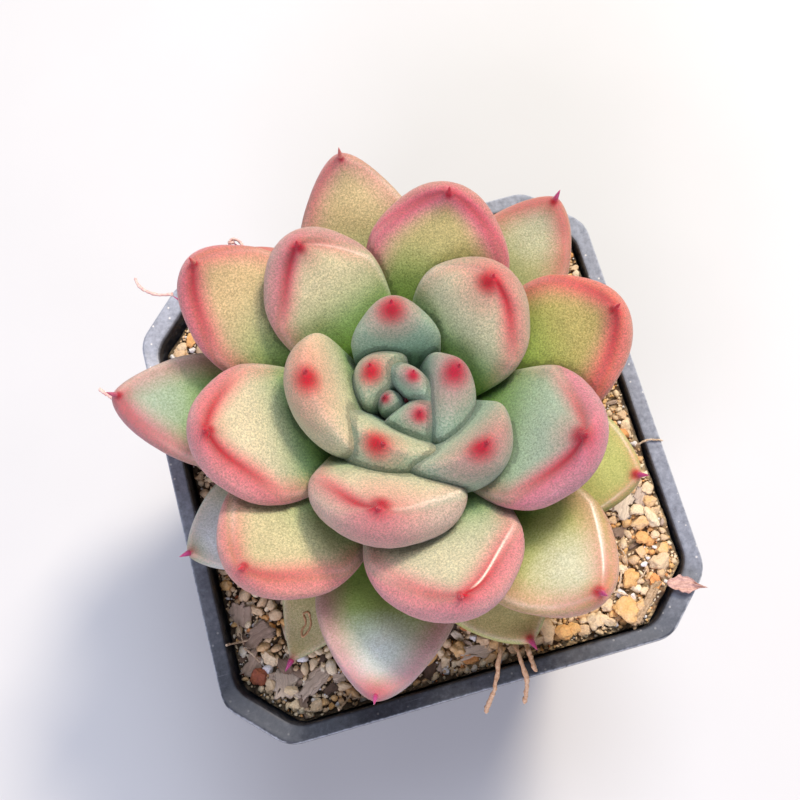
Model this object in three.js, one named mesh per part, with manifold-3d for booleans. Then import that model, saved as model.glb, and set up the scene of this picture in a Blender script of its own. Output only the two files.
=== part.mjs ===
// A potted echeveria: a square nursery pot with cut corners, gritty compost, a short stem and a rosette of
// thirty-three fleshy, spine-tipped leaves set on a golden-angle spiral. Millimetres, +Z up, origin under the
// middle of the pot. Each leaf is a solid of its own, trimmed where the younger leaves inside it press on it.
import * as THREE from "three";
import { mergeVertices } from "three/addons/utils/BufferGeometryUtils.js";
import Module from "manifold-3d";

const wasm = await Module();
wasm.setup();

// Driving dimensions
const pot = {
  across: 76, // over the flats of the rim
  height: 64,
  cornerCut: 8.15, // how far each corner of the rim is cut back along both sides
  wall: 0.9,
  rimWidth: 1.8, // the rolled edge, outside the wall
  rimDrop: 4,
  baseAcross: 52,
  floor: 1.6,
  footHeight: 1.5,
  footRadius: 4.2,
  footInset: 6, // from a foot's middle to the sides of the base
  drainRadius: 3.4,
  drainSpacing: 15, // from the middle to each of the four holes
};
const clearance = 0.3; // between pieces that touch
const compost = {
  depthBelowRim: 3.6, // at the pot's wall
  slope: 0.02, // it lies higher towards +X
  mound: 0.8, // how much higher it lies round the stem
  moundReach: 16,
  relief: 0.8, // up and down of the gravel, between one crest and the next
  cells: 24, // of the surface, along each side
  bare: 22, // no single stones nearer the stem than this, where the leaves hide them
  grit: 44, // stones that stand out of the surface
  gritHalf: [1.3, 2.3], // half widths of the smallest and the largest
  chips: 7, // bits of bark, at the front left
  seed: 11,
};
const stem = {
  x: -0.2,
  y: 4.3,
  rootRadius: 3.6,
  rootDepth: 14, // below the rim
  profile: [[4.4, -3], [4.6, 1], [4, 4], [3, 7], [1.9, 9.5], [1, 11.5]], // radius and rise from the rim
};
const spiral = { leaves: 33, firstTurn: 325.8, turn: 138.1 }; // degrees; leaf 0 is the innermost

// What changes with a leaf's place on the spiral, as [leaf, value], straight between the points.
// Heights are from the plane of the rim.
const byAge = {
  tipRise: [[0, 18.5], [2, 22], [4, 24.8], [8, 27.5], [12, 29.5], [18, 27.3], [24, 16.6], [32, 3]],
  tipReach: [[0, 0.8], [2, 3], [4, 5.5], [6, 9], [8, 13], [10, 18], [12, 23], [14, 27], [17, 32], [20, 37],
    [23, 39.5], [32, 40]],
  baseRise: [[0, 12], [6, 11], [12, 9.5], [18, 7], [24, 4.5], [32, 2]],
  baseReach: [[0, 0.8], [8, 2.5], [32, 5]],
  halfWidth: [[0, 1.6], [1, 2.6], [3, 4.2], [5, 6.2], [8, 8.4], [11, 10.3], [15, 10.8], [20, 10.6], [32, 9]],
  belly: [[0, 1.6], [1, 2.4], [3, 4.2], [5, 5], [8, 6.8], [11, 6.6], [16, 6.2], [20, 5.2], [32, 2.8]],
  crown: [[0, 0.8], [6, 0.6], [12, 0.28], [32, 0.18]], // the upper face's swell, as a share of the belly
  cup: [[0, 0.15], [4, 0.28], [8, 0.25], [11, 0.1], [32, 0.03]],
  sweep: [[0, 4], [12, 9], [24, 9], [32, 6]], // half of what the blade bends up between base and middle, degrees
  upturn: [[0, -10], [6, 0], [9, 20], [12, 32], [20, 36], [32, 22]], // of the last fifth, degrees
  baseWidth: [[0, 0.6], [8, 0.5], [32, 0.42]],
  tipPower: [[0, 1.9], [8, 2.2], [16, 2.2], [32, 2]],
  tipBlunt: [[0, 0.8], [8, 0.7], [18, 0.8], [32, 1]],
  ridge: [[0, 0], [7, 0.1], [11, 1], [32, 0.9]],
  spineLength: [[0, 0.7], [8, 1.2], [20, 2], [32, 2.2]],
  spineRadius: [[0, 0.3], [8, 0.45], [32, 0.5]],
};
// How single leaves stray from the spiral: turn in degrees, reach and sway of the tip in mm, the rest as shares.
const strays = [
  { turn: -20 },
  { turn: 30 },
  { turn: -17, reach: 0.3, width: 1.1 },
  { turn: 16, reach: -0.5, sway: 0.3, width: 1.4, depth: 1.6, swell: 0.3 },
  { turn: -4, reach: -0.2, depth: 0.85 },
  { turn: -30, reach: 1, sway: 3.9, width: 1.15, depth: 0.9, swell: 1.2 },
  { turn: 17, reach: -0.8, sway: 1.2, width: 1.25, depth: 1.3, swell: 0.6 },
  { turn: 2, reach: 0.2, width: 0.88, depth: 0.75, point: 0.8 },
  { turn: -9, reach: 0.4, sway: 4.2, depth: 1.1 },
  { turn: 17, reach: -3.4, sway: -4.3, width: 1.04, depth: 0.85 },
  { turn: 5, reach: 1, sway: 0.9, width: 0.98 },
  { turn: 1, reach: -2.2, width: 1.08, sway: -0.7 },
  { turn: 3, reach: 0.6, width: 0.88 },
  { turn: -5, reach: 0.8, width: 1.03 },
  { turn: -12 },
  { turn: 6, reach: -0.8 },
  { turn: -7, width: 1.05 },
  { turn: -4, reach: 1.6, width: 0.9 },
  { turn: 3, reach: -2.5 },
  { turn: -7, reach: -2.5 },
  { turn: 5, reach: -0.8, width: 0.88 },
  { turn: -8, reach: 1 },
  { turn: -3, reach: 2.2, width: 0.84 },
  { turn: 8, reach: -1.4, width: 0.85 },
  { turn: -2, reach: 2.2, width: 1.01 },
  { turn: 7, reach: -5.2, width: 0.85 },
  { turn: -8, reach: -4 },
  { turn: 2, reach: -2, width: 0.84 },
  { reach: -7, width: 0.8 },
  { turn: 2, reach: -1.4 },
  { turn: -6, reach: -4, width: 0.6, spine: 3 },
  { reach: -8, width: 0.8 },
  { turn: 3, width: 0.9 },
];
const unstrayed = { turn: 0, reach: 0, sway: 0, width: 1, depth: 1, swell: 1, point: 1, spine: 1 };
const blade = {
  widest: 0.62, // share of the length
  thickest: 0.55,
  baseThickness: 0.5,
  ridgeAngle: 24, // of the margin above the blade's widest line, degrees
  bendEnd: 0.6,
  upturnStart: 0.8,
  stations: [0, 0.08, 0.2, 0.34, 0.48, 0.62, 0.74, 0.84, 0.92, 0.975, 1],
  sectionAngles: [90, 57, 24, -8, -45, -90, -135, -172, 156, 123],
};
// Dried roots that hang over the front of the rim: points from the pot's middle and the rim's plane.
const dryRoots = {
  radius: 0.4,
  sides: 3, // to a half turn
  steps: 8,
  runs: [
    [[5, -31.4, -1.8], [4, -33.4, 0.9], [2.2, -37.3, 0.9], [1.4, -38.8, -0.4], [0.6, -39.9, -4.5], [0, -41.2, -8.3]],
    [[7, -31.8, -1.8], [6.7, -34, 0.9], [6.8, -37.3, 0.9], [6.7, -38.8, -0.4], [6.6, -39.8, -4], [6.1, -41.4, -8]],
    [[8.9, -31.8, -1.8], [8.2, -34, 0.8], [8.3, -35.6, 1], [8.5, -37.4, 0.9]],
  ],
};
const shedLeaf = { x: 34.2, y: -31.3, rise: 0.9, length: 6.2, width: 2.9, thickness: 0.8, turn: -24, tilt: -8 };

const { smoothstep, degToRad, lerp, clamp } = THREE.MathUtils;

// A straight-line reading of a list of [x, value] points.
function read(points, x) {
  const next = points.findIndex(([px]) => px >= x);
  if (next <= 0) return points[next < 0 ? points.length - 1 : 0][1];
  const [x0, v0] = points[next - 1];
  const [x1, v1] = points[next];
  return lerp(v0, v1, (x - x0) / (x1 - x0));
}

// A repeatable random stream, 0 to 1.
function randomStream(seed) {
  let state = seed;
  return () => {
    state = (state * 1103515245 + 12345) % 2147483648;
    return state / 2147483648;
  };
}

function toSolid(geometry) {
  const bare = geometry.clone();
  bare.deleteAttribute("normal");
  bare.deleteAttribute("uv");
  const merged = mergeVertices(bare, 1e-4);
  return new wasm.Manifold(
    new wasm.Mesh({
      numProp: 3,
      vertProperties: new Float32Array(merged.attributes.position.array),
      triVerts: new Uint32Array(merged.index.array),
    }),
  );
}

function toMesh(name, solid, material) {
  const { vertProperties, triVerts } = solid.getMesh();
  const shared = new THREE.BufferGeometry();
  shared.setAttribute("position", new THREE.BufferAttribute(vertProperties, 3));
  shared.setIndex(new THREE.BufferAttribute(triVerts, 1));
  const geometry = shared.toNonIndexed();
  geometry.computeVertexNormals();
  const mesh = new THREE.Mesh(geometry, material);
  mesh.name = name;
  return mesh;
}

// The largest body of a cut solid: loose scraps are dropped.
function mainBody(solid) {
  return solid.decompose().sort((a, b) => b.volume() - a.volume())[0];
}

// A turned profile with eight sides, pulled out to the pot's outline: a square with cut corners.
function squaredLathe(profile) {
  const geometry = new THREE.LatheGeometry(profile.map(([r, z]) => new THREE.Vector2(r, z)), 8);
  const flat = 1 - (2 * pot.cornerCut) / pot.across;
  const corners = [[flat, 1], [-flat, 1], [-1, flat], [-1, -flat], [-flat, -1], [flat, -1], [1, -flat], [1, flat]];
  const place = geometry.attributes.position;
  for (let i = 0; i < place.count; i++) {
    const radius = Math.hypot(place.getX(i), place.getZ(i));
    const side = Math.round((Math.atan2(place.getX(i), place.getZ(i)) / Math.PI) * 4);
    const [cornerX, cornerY] = corners[(side + 8) % 8];
    place.setXYZ(i, radius * cornerX, radius * cornerY, place.getY(i));
  }
  return toSolid(geometry);
}

// The pot's inner wall, from its floor to just under the rim, as half widths and heights.
const inside = {
  floorZ: pot.footHeight + pot.floor,
  floorHalf: pot.baseAcross / 2 - pot.wall,
  topZ: pot.height - pot.rimDrop,
  topHalf: pot.across / 2 - pot.rimWidth - pot.wall,
};

function potSolid() {
  const rim = pot.across / 2;
  const base = pot.baseAcross / 2;
  const wallTop = rim - pot.rimWidth;
  let solid = squaredLathe([
    [0, pot.footHeight],
    [base - 1, pot.footHeight],
    [base, pot.footHeight + 1],
    [wallTop, pot.height - pot.rimDrop],
    [rim - 0.4, pot.height - pot.rimDrop],
    [rim, pot.height - 0.6],
    [rim - 0.4, pot.height],
    [inside.topHalf + 0.3, pot.height - 0.3],
    [inside.topHalf, inside.topZ],
    [inside.floorHalf, inside.floorZ],
    [0, inside.floorZ],
  ]);
  const footDepth = pot.footHeight + 0.5;
  const foot = new THREE.CylinderGeometry(pot.footRadius, pot.footRadius - 0.4, footDepth, 12)
    .rotateX(Math.PI / 2)
    .translate(0, 0, footDepth / 2);
  const footPlace = base - pot.footInset;
  for (const [x, y] of [[0, 0], [1, 1], [-1, 1], [-1, -1], [1, -1]]) {
    solid = solid.add(toSolid(foot.clone().translate(x * footPlace, y * footPlace, 0)));
  }
  const drain = new THREE.CylinderGeometry(pot.drainRadius, pot.drainRadius, 12, 12).rotateX(Math.PI / 2);
  for (const [x, y] of [[1, 0], [0, 1], [-1, 0], [0, -1]]) {
    solid = solid.subtract(toSolid(drain.clone().translate(x * pot.drainSpacing, y * pot.drainSpacing, 0)));
  }
  return solid;
}

function stemSolid(grow = 0) {
  const rootBottom = pot.height - stem.rootDepth;
  const above = stem.profile.map(([radius, rise]) => new THREE.Vector2(radius + grow, pot.height + rise));
  const tip = above.at(-1);
  const outline = [
    new THREE.Vector2(0, rootBottom - grow),
    new THREE.Vector2(stem.rootRadius - 1 + grow, rootBottom - grow),
    new THREE.Vector2(stem.rootRadius + grow, rootBottom + 3),
    ...above,
    new THREE.Vector2(0, tip.y + grow + 0.4),
  ];
  const lathe = new THREE.LatheGeometry(outline, 16).rotateX(Math.PI / 2).translate(stem.x, stem.y, 0);
  return toSolid(lathe);
}

// A leaf's own sizes, with the length and the mean pitch that carry its tip to its place.
function leafShape(index) {
  const own = { ...unstrayed, ...strays[index] };
  const shape = { sway: own.sway };
  for (const [name, points] of Object.entries(byAge)) shape[name] = read(points, index);
  shape.azimuth = degToRad(spiral.firstTurn - spiral.turn * index + own.turn);
  shape.halfWidth *= own.width;
  shape.belly *= own.depth;
  shape.crown *= own.swell;
  shape.tipPower *= own.point;
  shape.spineLength *= own.spine;
  const run = shape.tipReach + own.reach - shape.baseReach;
  const rise = shape.tipRise - shape.baseRise;
  const steps = 100;
  let along = 0;
  let across = 0;
  for (let i = 0; i < steps; i++) {
    const bend = bladeBend(shape, (i + 0.5) / steps);
    along += Math.cos(bend) / steps;
    across += Math.sin(bend) / steps;
  }
  shape.length = Math.hypot(run, rise) / Math.hypot(along, across);
  shape.pitch = Math.atan2(rise, run) - Math.atan2(across, along);
  return shape;
}

// How far the midline has bent up at share s of the length, from its mean pitch.
function bladeBend(shape, s) {
  const sweep = shape.sweep * (2 * smoothstep(s, 0, blade.bendEnd) - 1);
  return degToRad(sweep + shape.upturn * smoothstep(s, blade.upturnStart, 1));
}

// The blade's section at share s; past 1 only the spine is left.
function bladeSection(shape, s) {
  const fromTip = (1 - s) * shape.length;
  const spine = s < 1
    ? shape.spineRadius * Math.exp(-fromTip / (2.2 * shape.spineRadius))
    : shape.spineRadius * clamp(1 + fromTip / shape.spineLength, 0, 1) ** 0.8;
  const root = Math.sqrt(smoothstep(s, -0.06, 0.05));
  const pastWidest = clamp((s - blade.widest) / (1 - blade.widest), 0, 1);
  const width = s < blade.widest
    ? root * lerp(shape.baseWidth, 1, smoothstep(s, 0, blade.widest))
    : (1 - pastWidest ** shape.tipPower) ** shape.tipBlunt;
  const pastThickest = clamp((s - blade.thickest) / (1 - blade.thickest), 0, 1);
  const depth = s < blade.thickest
    ? root * lerp(blade.baseThickness, 1, smoothstep(s, 0, blade.thickest))
    : (1 - pastThickest ** 2.6) ** 0.6;
  return {
    half: Math.hypot(shape.halfWidth * width, spine),
    belly: Math.hypot(shape.belly * depth, spine),
    crown: Math.hypot(shape.belly * shape.crown * depth, spine),
    cup: shape.cup * shape.halfWidth * width * smoothstep(s, 0, 0.3) * (1 - smoothstep(s, 0.8, 1)),
    margin: s > 1 ? 0 : degToRad(blade.ridgeAngle) * shape.ridge * smoothstep(s, 0.1, 0.6),
  };
}

// A point of the section: across the blade and above its midline.
function sectionPoint(section, angle, grow) {
  const lift = Math.sin(section.margin);
  const sine = Math.sin(angle);
  const across = (section.half + grow) * Math.cos(angle);
  let above = (section.belly + grow) * ((sine < 0 ? sine : 0.7 * sine) - 0.7 * lift);
  if (sine > lift) {
    const share = Math.cos(angle) / Math.cos(section.margin);
    above = (section.crown + grow) * clamp(1 - share * share, 0, 1) ** 0.8;
  }
  return { across, above: above + section.cup * Math.cos(angle) ** 2 };
}

// Where the midline is at each share of the length, in the leaf's own upright plane.
function walkMidline(shape, shares) {
  const points = [];
  let reach = shape.baseReach;
  let rise = shape.baseRise;
  let s = 0;
  for (const share of shares) {
    const steps = Math.ceil((share - s) * 100);
    const step = (share - s) / Math.max(steps, 1);
    for (let i = 0; i < steps; i++) {
      const pitch = shape.pitch + bladeBend(shape, s + step * (i + 0.5));
      reach += Math.cos(pitch) * step * shape.length;
      rise += Math.sin(pitch) * step * shape.length;
    }
    s = share;
    points.push({ reach, rise, pitch: shape.pitch + bladeBend(shape, s) });
  }
  return points;
}

// A leaf: a ball drawn out along the bent midline, swollen by grow on every side.
function leafSolid(index, grow = 0) {
  const shape = leafShape(index);
  const shares = [...blade.stations, 1 + (shape.spineLength + grow) / shape.length];
  const midline = walkMidline(shape, shares);
  const sides = blade.sectionAngles.length;
  const ball = new THREE.SphereGeometry(1, sides, shares.length - 1);
  const place = ball.attributes.position;
  shares.forEach((share, row) => {
    const section = bladeSection(shape, share);
    const { reach, rise, pitch } = midline[row];
    const pole = row === 0 || row === shares.length - 1;
    const sway = shape.sway * Math.min(share, 1) ** 2;
    for (let column = 0; column <= sides; column++) {
      const angle = degToRad(blade.sectionAngles[column % sides]);
      const point = pole ? { across: 0, above: 0 } : sectionPoint(section, angle, grow);
      const out = reach - point.above * Math.sin(pitch);
      const aside = point.across + sway;
      place.setXYZ(
        row * (sides + 1) + column,
        stem.x + out * Math.cos(shape.azimuth) - aside * Math.sin(shape.azimuth),
        stem.y + out * Math.sin(shape.azimuth) + aside * Math.cos(shape.azimuth),
        pot.height + rise + point.above * Math.cos(pitch),
      );
    }
  });
  return toSolid(ball);
}

// The height of the compost's surface, without its stones.
function compostTop(x, y) {
  const fromStem = Math.hypot(x - stem.x, y - stem.y);
  const mound = compost.mound * Math.exp(-((fromStem / compost.moundReach) ** 2));
  return pot.height - compost.depthBelowRim + compost.slope * x + mound;
}

// A rough stone, or with flat set a flake of bark, turned at random.
function stoneGeometry(random, half, flat) {
  const stone = flat ? new THREE.BoxGeometry(2, 2, 2) : new THREE.IcosahedronGeometry(1, 0);
  const squash = flat ? [1.6, 0.7, 0.25] : [1, 0.7 + 0.3 * random(), 0.6 + 0.25 * random()];
  stone.scale(half * squash[0], half * squash[1], half * squash[2]);
  stone.rotateX((random() - 0.5) * (flat ? 0.6 : 3));
  stone.rotateY((random() - 0.5) * (flat ? 0.6 : 3));
  stone.rotateZ(random() * 2 * Math.PI);
  return stone;
}

// Compost with a coarse surface, its stones and bark set where no leaf presses, and a plain hole for the stem.
function compostSolid(pressed) {
  const side = pot.across;
  const cells = compost.cells;
  const top = pot.height + 2;
  const block = new THREE.BoxGeometry(side, side, top, cells, cells, 1).translate(0, 0, top / 2);
  const place = block.attributes.position;
  const crests = new Map();
  const random = randomStream(compost.seed);
  for (let i = 0; i < place.count; i++) {
    const [x, y] = [place.getX(i), place.getY(i)];
    const spot = `${x.toFixed(2)},${y.toFixed(2)}`;
    if (!crests.has(spot)) crests.set(spot, compost.relief * (random() - 0.5));
    const up = place.getZ(i) > top / 2;
    place.setZ(i, up ? compostTop(x, y) + crests.get(spot) : inside.floorZ + clearance);
  }
  const slope = (inside.topHalf - inside.floorHalf) / (inside.topZ - inside.floorZ);
  const fill = squaredLathe([
    [0, inside.floorZ - 1],
    [inside.floorHalf - clearance - slope, inside.floorZ - 1],
    [inside.topHalf - clearance, inside.topZ],
    [inside.topHalf - clearance, pot.height],
    [0, pot.height],
  ]);
  const reach = inside.topHalf - 2.4;
  const cornerReach = 2 * reach - pot.cornerCut;
  let solid = toSolid(block).intersect(fill);
  let placed = 0;
  while (placed < compost.grit + compost.chips) {
    const chip = placed >= compost.grit;
    const half = lerp(...compost.gritHalf, random() ** 1.5);
    const x = chip ? -reach + 26 * random() : reach * (2 * random() - 1);
    const y = chip ? -reach + 20 * random() : reach * (2 * random() - 1);
    const stone = stoneGeometry(random, half, chip);
    if (Math.abs(x) + Math.abs(y) > cornerReach || Math.hypot(x - stem.x, y - stem.y) < compost.bare) continue;
    const body = toSolid(stone.translate(x, y, compostTop(x, y) + (chip ? 0.1 : 0.15 * half)));
    if (!body.intersect(pressed).isEmpty()) continue;
    solid = solid.add(body);
    placed += 1;
  }
  return mainBody(solid.subtract(stemSolid(clearance)).subtract(pressed));
}

function rootStrand(run, grow = 0) {
  const section = new THREE.Shape();
  section.absarc(0, 0, dryRoots.radius + grow, 0, 2 * Math.PI);
  const path = new THREE.CatmullRomCurve3(run.map(([x, y, rise]) => new THREE.Vector3(x, y, pot.height + rise)));
  const options = { curveSegments: dryRoots.sides, steps: dryRoots.steps, extrudePath: path, bevelEnabled: false };
  return toSolid(new THREE.ExtrudeGeometry(section, options));
}

// A shrivelled leaf that has dropped at the front right corner.
function shedLeafSolid(grow = 0) {
  const ball = new THREE.SphereGeometry(1, 8, 6).rotateZ(Math.PI / 2);
  ball.scale(shedLeaf.length / 2 + grow, shedLeaf.width / 2 + grow, shedLeaf.thickness / 2 + grow);
  ball.rotateY(degToRad(shedLeaf.tilt)).rotateZ(degToRad(shedLeaf.turn));
  return toSolid(ball.translate(shedLeaf.x, shedLeaf.y, pot.height + shedLeaf.rise));
}

const plastic = new THREE.MeshStandardMaterial({ color: 0x33373f, roughness: 0.45, metalness: 0 });
const grit = new THREE.MeshStandardMaterial({ color: 0xb98f5c, roughness: 0.95, metalness: 0 });
const stalk = new THREE.MeshStandardMaterial({ color: 0x8c9458, roughness: 0.7, metalness: 0 });
const straw = new THREE.MeshStandardMaterial({ color: 0xa9855f, roughness: 0.8, metalness: 0 });
const young = new THREE.Color(0x9dbb9a);
const old = new THREE.Color(0xe0a796);

const plant = new THREE.Group();
plant.add(toMesh("pot", potSolid(), plastic));
plant.add(toMesh("stem", stemSolid(), stalk));
let taken = stemSolid(clearance);
for (let index = 0; index < spiral.leaves; index++) {
  const color = young.clone().lerp(old, smoothstep(index, 4, 16));
  const skin = new THREE.MeshStandardMaterial({ color, roughness: 0.55, metalness: 0 });
  const solid = mainBody(leafSolid(index).subtract(taken));
  plant.add(toMesh(`leaf_${String(index + 1).padStart(2, "0")}`, solid, skin));
  taken = taken.add(leafSolid(index, clearance));
}
dryRoots.runs.forEach((run, i) => {
  plant.add(toMesh(`dry_root_${i + 1}`, rootStrand(run), straw));
  taken = taken.add(rootStrand(run, clearance));
});
plant.add(toMesh("shed_leaf", shedLeafSolid(), straw));
plant.add(toMesh("compost", compostSolid(taken.add(shedLeafSolid(clearance))), grit));

export default plant;
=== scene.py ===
# Looks of a potted echeveria, built round its fixed frame: thirty-three powdery leaves, a short stem,
# gritty compost, a black nursery pot, three dried roots and a shed leaf.
# Lengths in the dictionaries are millimetres and angles are degrees; meshes are in metres.
import math
import random

import bmesh
import bpy
import numpy as np
from mathutils import Matrix, Vector, noise
from mathutils.bvhtree import BVHTree


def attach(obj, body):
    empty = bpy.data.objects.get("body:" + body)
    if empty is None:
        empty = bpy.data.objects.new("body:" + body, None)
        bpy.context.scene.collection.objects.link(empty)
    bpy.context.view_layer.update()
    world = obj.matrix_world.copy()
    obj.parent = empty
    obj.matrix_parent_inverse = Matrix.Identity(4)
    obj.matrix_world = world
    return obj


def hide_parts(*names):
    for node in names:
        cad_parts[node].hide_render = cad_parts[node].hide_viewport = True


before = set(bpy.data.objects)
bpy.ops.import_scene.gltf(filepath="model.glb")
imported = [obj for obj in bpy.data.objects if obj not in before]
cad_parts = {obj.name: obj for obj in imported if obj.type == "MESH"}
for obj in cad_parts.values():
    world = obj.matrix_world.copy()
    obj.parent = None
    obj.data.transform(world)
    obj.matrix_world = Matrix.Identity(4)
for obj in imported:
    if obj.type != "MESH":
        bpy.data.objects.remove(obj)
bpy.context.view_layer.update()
mm = 0.001
print("frame loaded:", len(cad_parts), "nodes")


# Camera: it looks down on the rosette from the front, a little to the left
camera = {
    "azimuth": -10.1,
    "elevation": 74.7,
    "roll": -5.6,
    "distance": 182.3,
    "target": (0.2, 8.75, 64),
    "imageSide": 800,  # pixels
    "focal": 1142,  # pixels
    "sensor": 36,
    "clipStart": 10,
}


def cameraAxes():
    azimuth, elevation, roll = (math.radians(camera[key]) for key in ("azimuth", "elevation", "roll"))
    level = Vector((math.cos(azimuth), math.sin(azimuth), 0))
    out = math.cos(elevation)
    back = Vector((math.sin(azimuth) * out, -math.cos(azimuth) * out, math.sin(elevation)))
    upright = back.cross(level)
    right = level * math.cos(roll) + upright * math.sin(roll)
    return right, upright * math.cos(roll) - level * math.sin(roll), back


def cameraPlace():
    return Vector(camera["target"]) + cameraAxes()[2] * camera["distance"]


def makeCamera():
    turn = Matrix(cameraAxes()).transposed().to_4x4()
    bpy.ops.object.camera_add()
    view = bpy.context.object
    view.name = "view_from_above"
    view.data.sensor_width = camera["sensor"]
    view.data.lens = camera["focal"] * camera["sensor"] / camera["imageSide"]
    view.data.clip_start = camera["clipStart"] * mm
    view.matrix_world = Matrix.Translation(cameraPlace() * mm) @ turn
    bpy.context.scene.camera = view


def underPixel(pixel, height):
    # the point, in millimetres, that a pixel of the picture shows at this height
    right, up, back = cameraAxes()
    aside, below = pixel[0] - camera["imageSide"] / 2, pixel[1] - camera["imageSide"] / 2
    ray = right * (aside / camera["focal"]) - up * (below / camera["focal"]) - back
    place = cameraPlace()
    return place + ray * ((height - place.z) / ray.z)


makeCamera()


# Small helpers for meshes and materials
def linear(hexText):
    # sRGB hex to the linear colour that the shader wants
    parts = [int(hexText[i:i + 2], 16) / 255 for i in (1, 3, 5)]
    return tuple(c / 12.92 if c <= 0.04045 else ((c + 0.055) / 1.055) ** 2.4 for c in parts) + (1,)


def addNode(tree, kind, settings, output=0):
    # adds a node and gives its output; a setting is a property, an input's value or the socket that feeds it
    node = tree.nodes.new("ShaderNode" + kind)
    for key, value in settings.items():
        if isinstance(value, bpy.types.NodeSocket):
            tree.links.new(value, node.inputs[key])
        elif isinstance(key, int) or key in node.inputs:
            node.inputs[key].default_value = value
        else:
            setattr(node, key, value)
    return node.outputs[output]


def newMaterial(name):
    # an empty material, its node tree and the Object coordinates that its patterns follow
    material = bpy.data.materials.new(name)
    material.use_nodes = True
    tree = material.node_tree
    tree.nodes.clear()
    return material, tree, addNode(tree, "TexCoord", {}, "Object")


def finishMaterial(material, settings):
    tree = material.node_tree
    shader = addNode(tree, "BsdfPrincipled", settings)
    surface = tree.nodes.new("ShaderNodeOutputMaterial")
    tree.links.new(shader, surface.inputs["Surface"])
    return material


def paint(tree, ground, coats):
    # lays coats over a ground, each by its own share; a colour is a hex text or a socket
    def asColour(colour):
        return linear(colour) if isinstance(colour, str) else colour

    ground = asColour(ground)
    for colour, share in coats:
        mix = {"data_type": "RGBA", "clamp_result": True, 0: share, 6: ground, 7: asColour(colour)}
        ground = addNode(tree, "Mix", mix, 2)
    return ground


def span(low, high, start=0, end=1):
    # settings that carry a pattern's values between low and high over to start and end
    return {"From Min": low, "From Max": high, "To Min": start, "To Max": end}


def fineness(size):
    # a texture's scale, from the size of its pattern in millimetres
    return 1 / (size * mm)


def deselect():
    for thing in bpy.context.selected_objects:
        thing.select_set(False)


def selectOnly(*things):
    deselect()
    for thing in things:
        thing.select_set(True)
    bpy.context.view_layer.objects.active = things[0]


def vertexArray(mesh):
    places = np.zeros(len(mesh.vertices) * 3)
    mesh.vertices.foreach_get("co", places)
    return places.reshape(-1, 3)


def setVertices(mesh, places):
    mesh.vertices.foreach_set("co", np.asarray(places, float).ravel())
    mesh.update()


def setAttribute(mesh, name, values):
    attribute = mesh.attributes.new(name, "FLOAT", "POINT")
    attribute.data.foreach_set("value", np.asarray(values, np.float32))


def smooth(x, low, high):
    share = np.clip((np.asarray(x, float) - low) / (high - low), 0, 1)
    return share * share * (3 - 2 * share)


def joinPieces(name, pieces):
    selectOnly(*pieces)
    bpy.ops.object.join()
    joined = bpy.context.object
    joined.name = joined.data.name = name
    return joined


def surfaceTree(*pieces):
    # one search tree of all that these pieces' surfaces hold
    places, faces = [], []
    for piece in pieces:
        start = len(places)
        places += [v.co.copy() for v in piece.data.vertices]
        faces += [[start + i for i in face.vertices] for face in piece.data.polygons]
    return BVHTree.FromPolygons(places, faces)


def faceOutwards(thing):
    selectOnly(thing)
    bpy.ops.object.mode_set(mode="EDIT")
    bpy.ops.mesh.select_all(action="SELECT")
    bpy.ops.mesh.normals_make_consistent(inside=False)
    bpy.ops.object.mode_set(mode="OBJECT")


def finishPiece(piece, name, material, slot, *nodes):
    piece.name = piece.data.name = name
    piece.data.materials.clear()
    piece.data.materials.append(material)
    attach(piece, "root")
    if nodes:
        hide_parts(*nodes)
    return piece


# Leaves: each is a ball drawn out along a bent midline, by the same rule as the solid that it stands for
stem = {
    "x": -0.2,
    "y": 4.3,
    "rim": 64,  # heights of the leaves are from this plane
    "low": 50,
    "top": 11.9,  # from the rim's plane, as the heights of the profile are
    "foot": [(2.4, 0), (3.4, 1)],  # radius and height above the low end
    "profile": [(4.4, -3), (4.6, 1), (4, 4), (3, 7), (1.9, 9.5), (1, 11.5)],  # radius and height
}
spiral = {
    "leaves": 33,
    "firstTurn": 325.8,
    "turn": 138.1,
    "neighbours": (1, 2, 3, 5, 8, 13),  # how many leaves apart on the spiral two can touch
    "young": 9,  # the innermost leaves up to this count have the young skin
    "grown": 21,  # and the next ones, up to this count, the grown skin
    "buds": 10,
}
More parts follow.
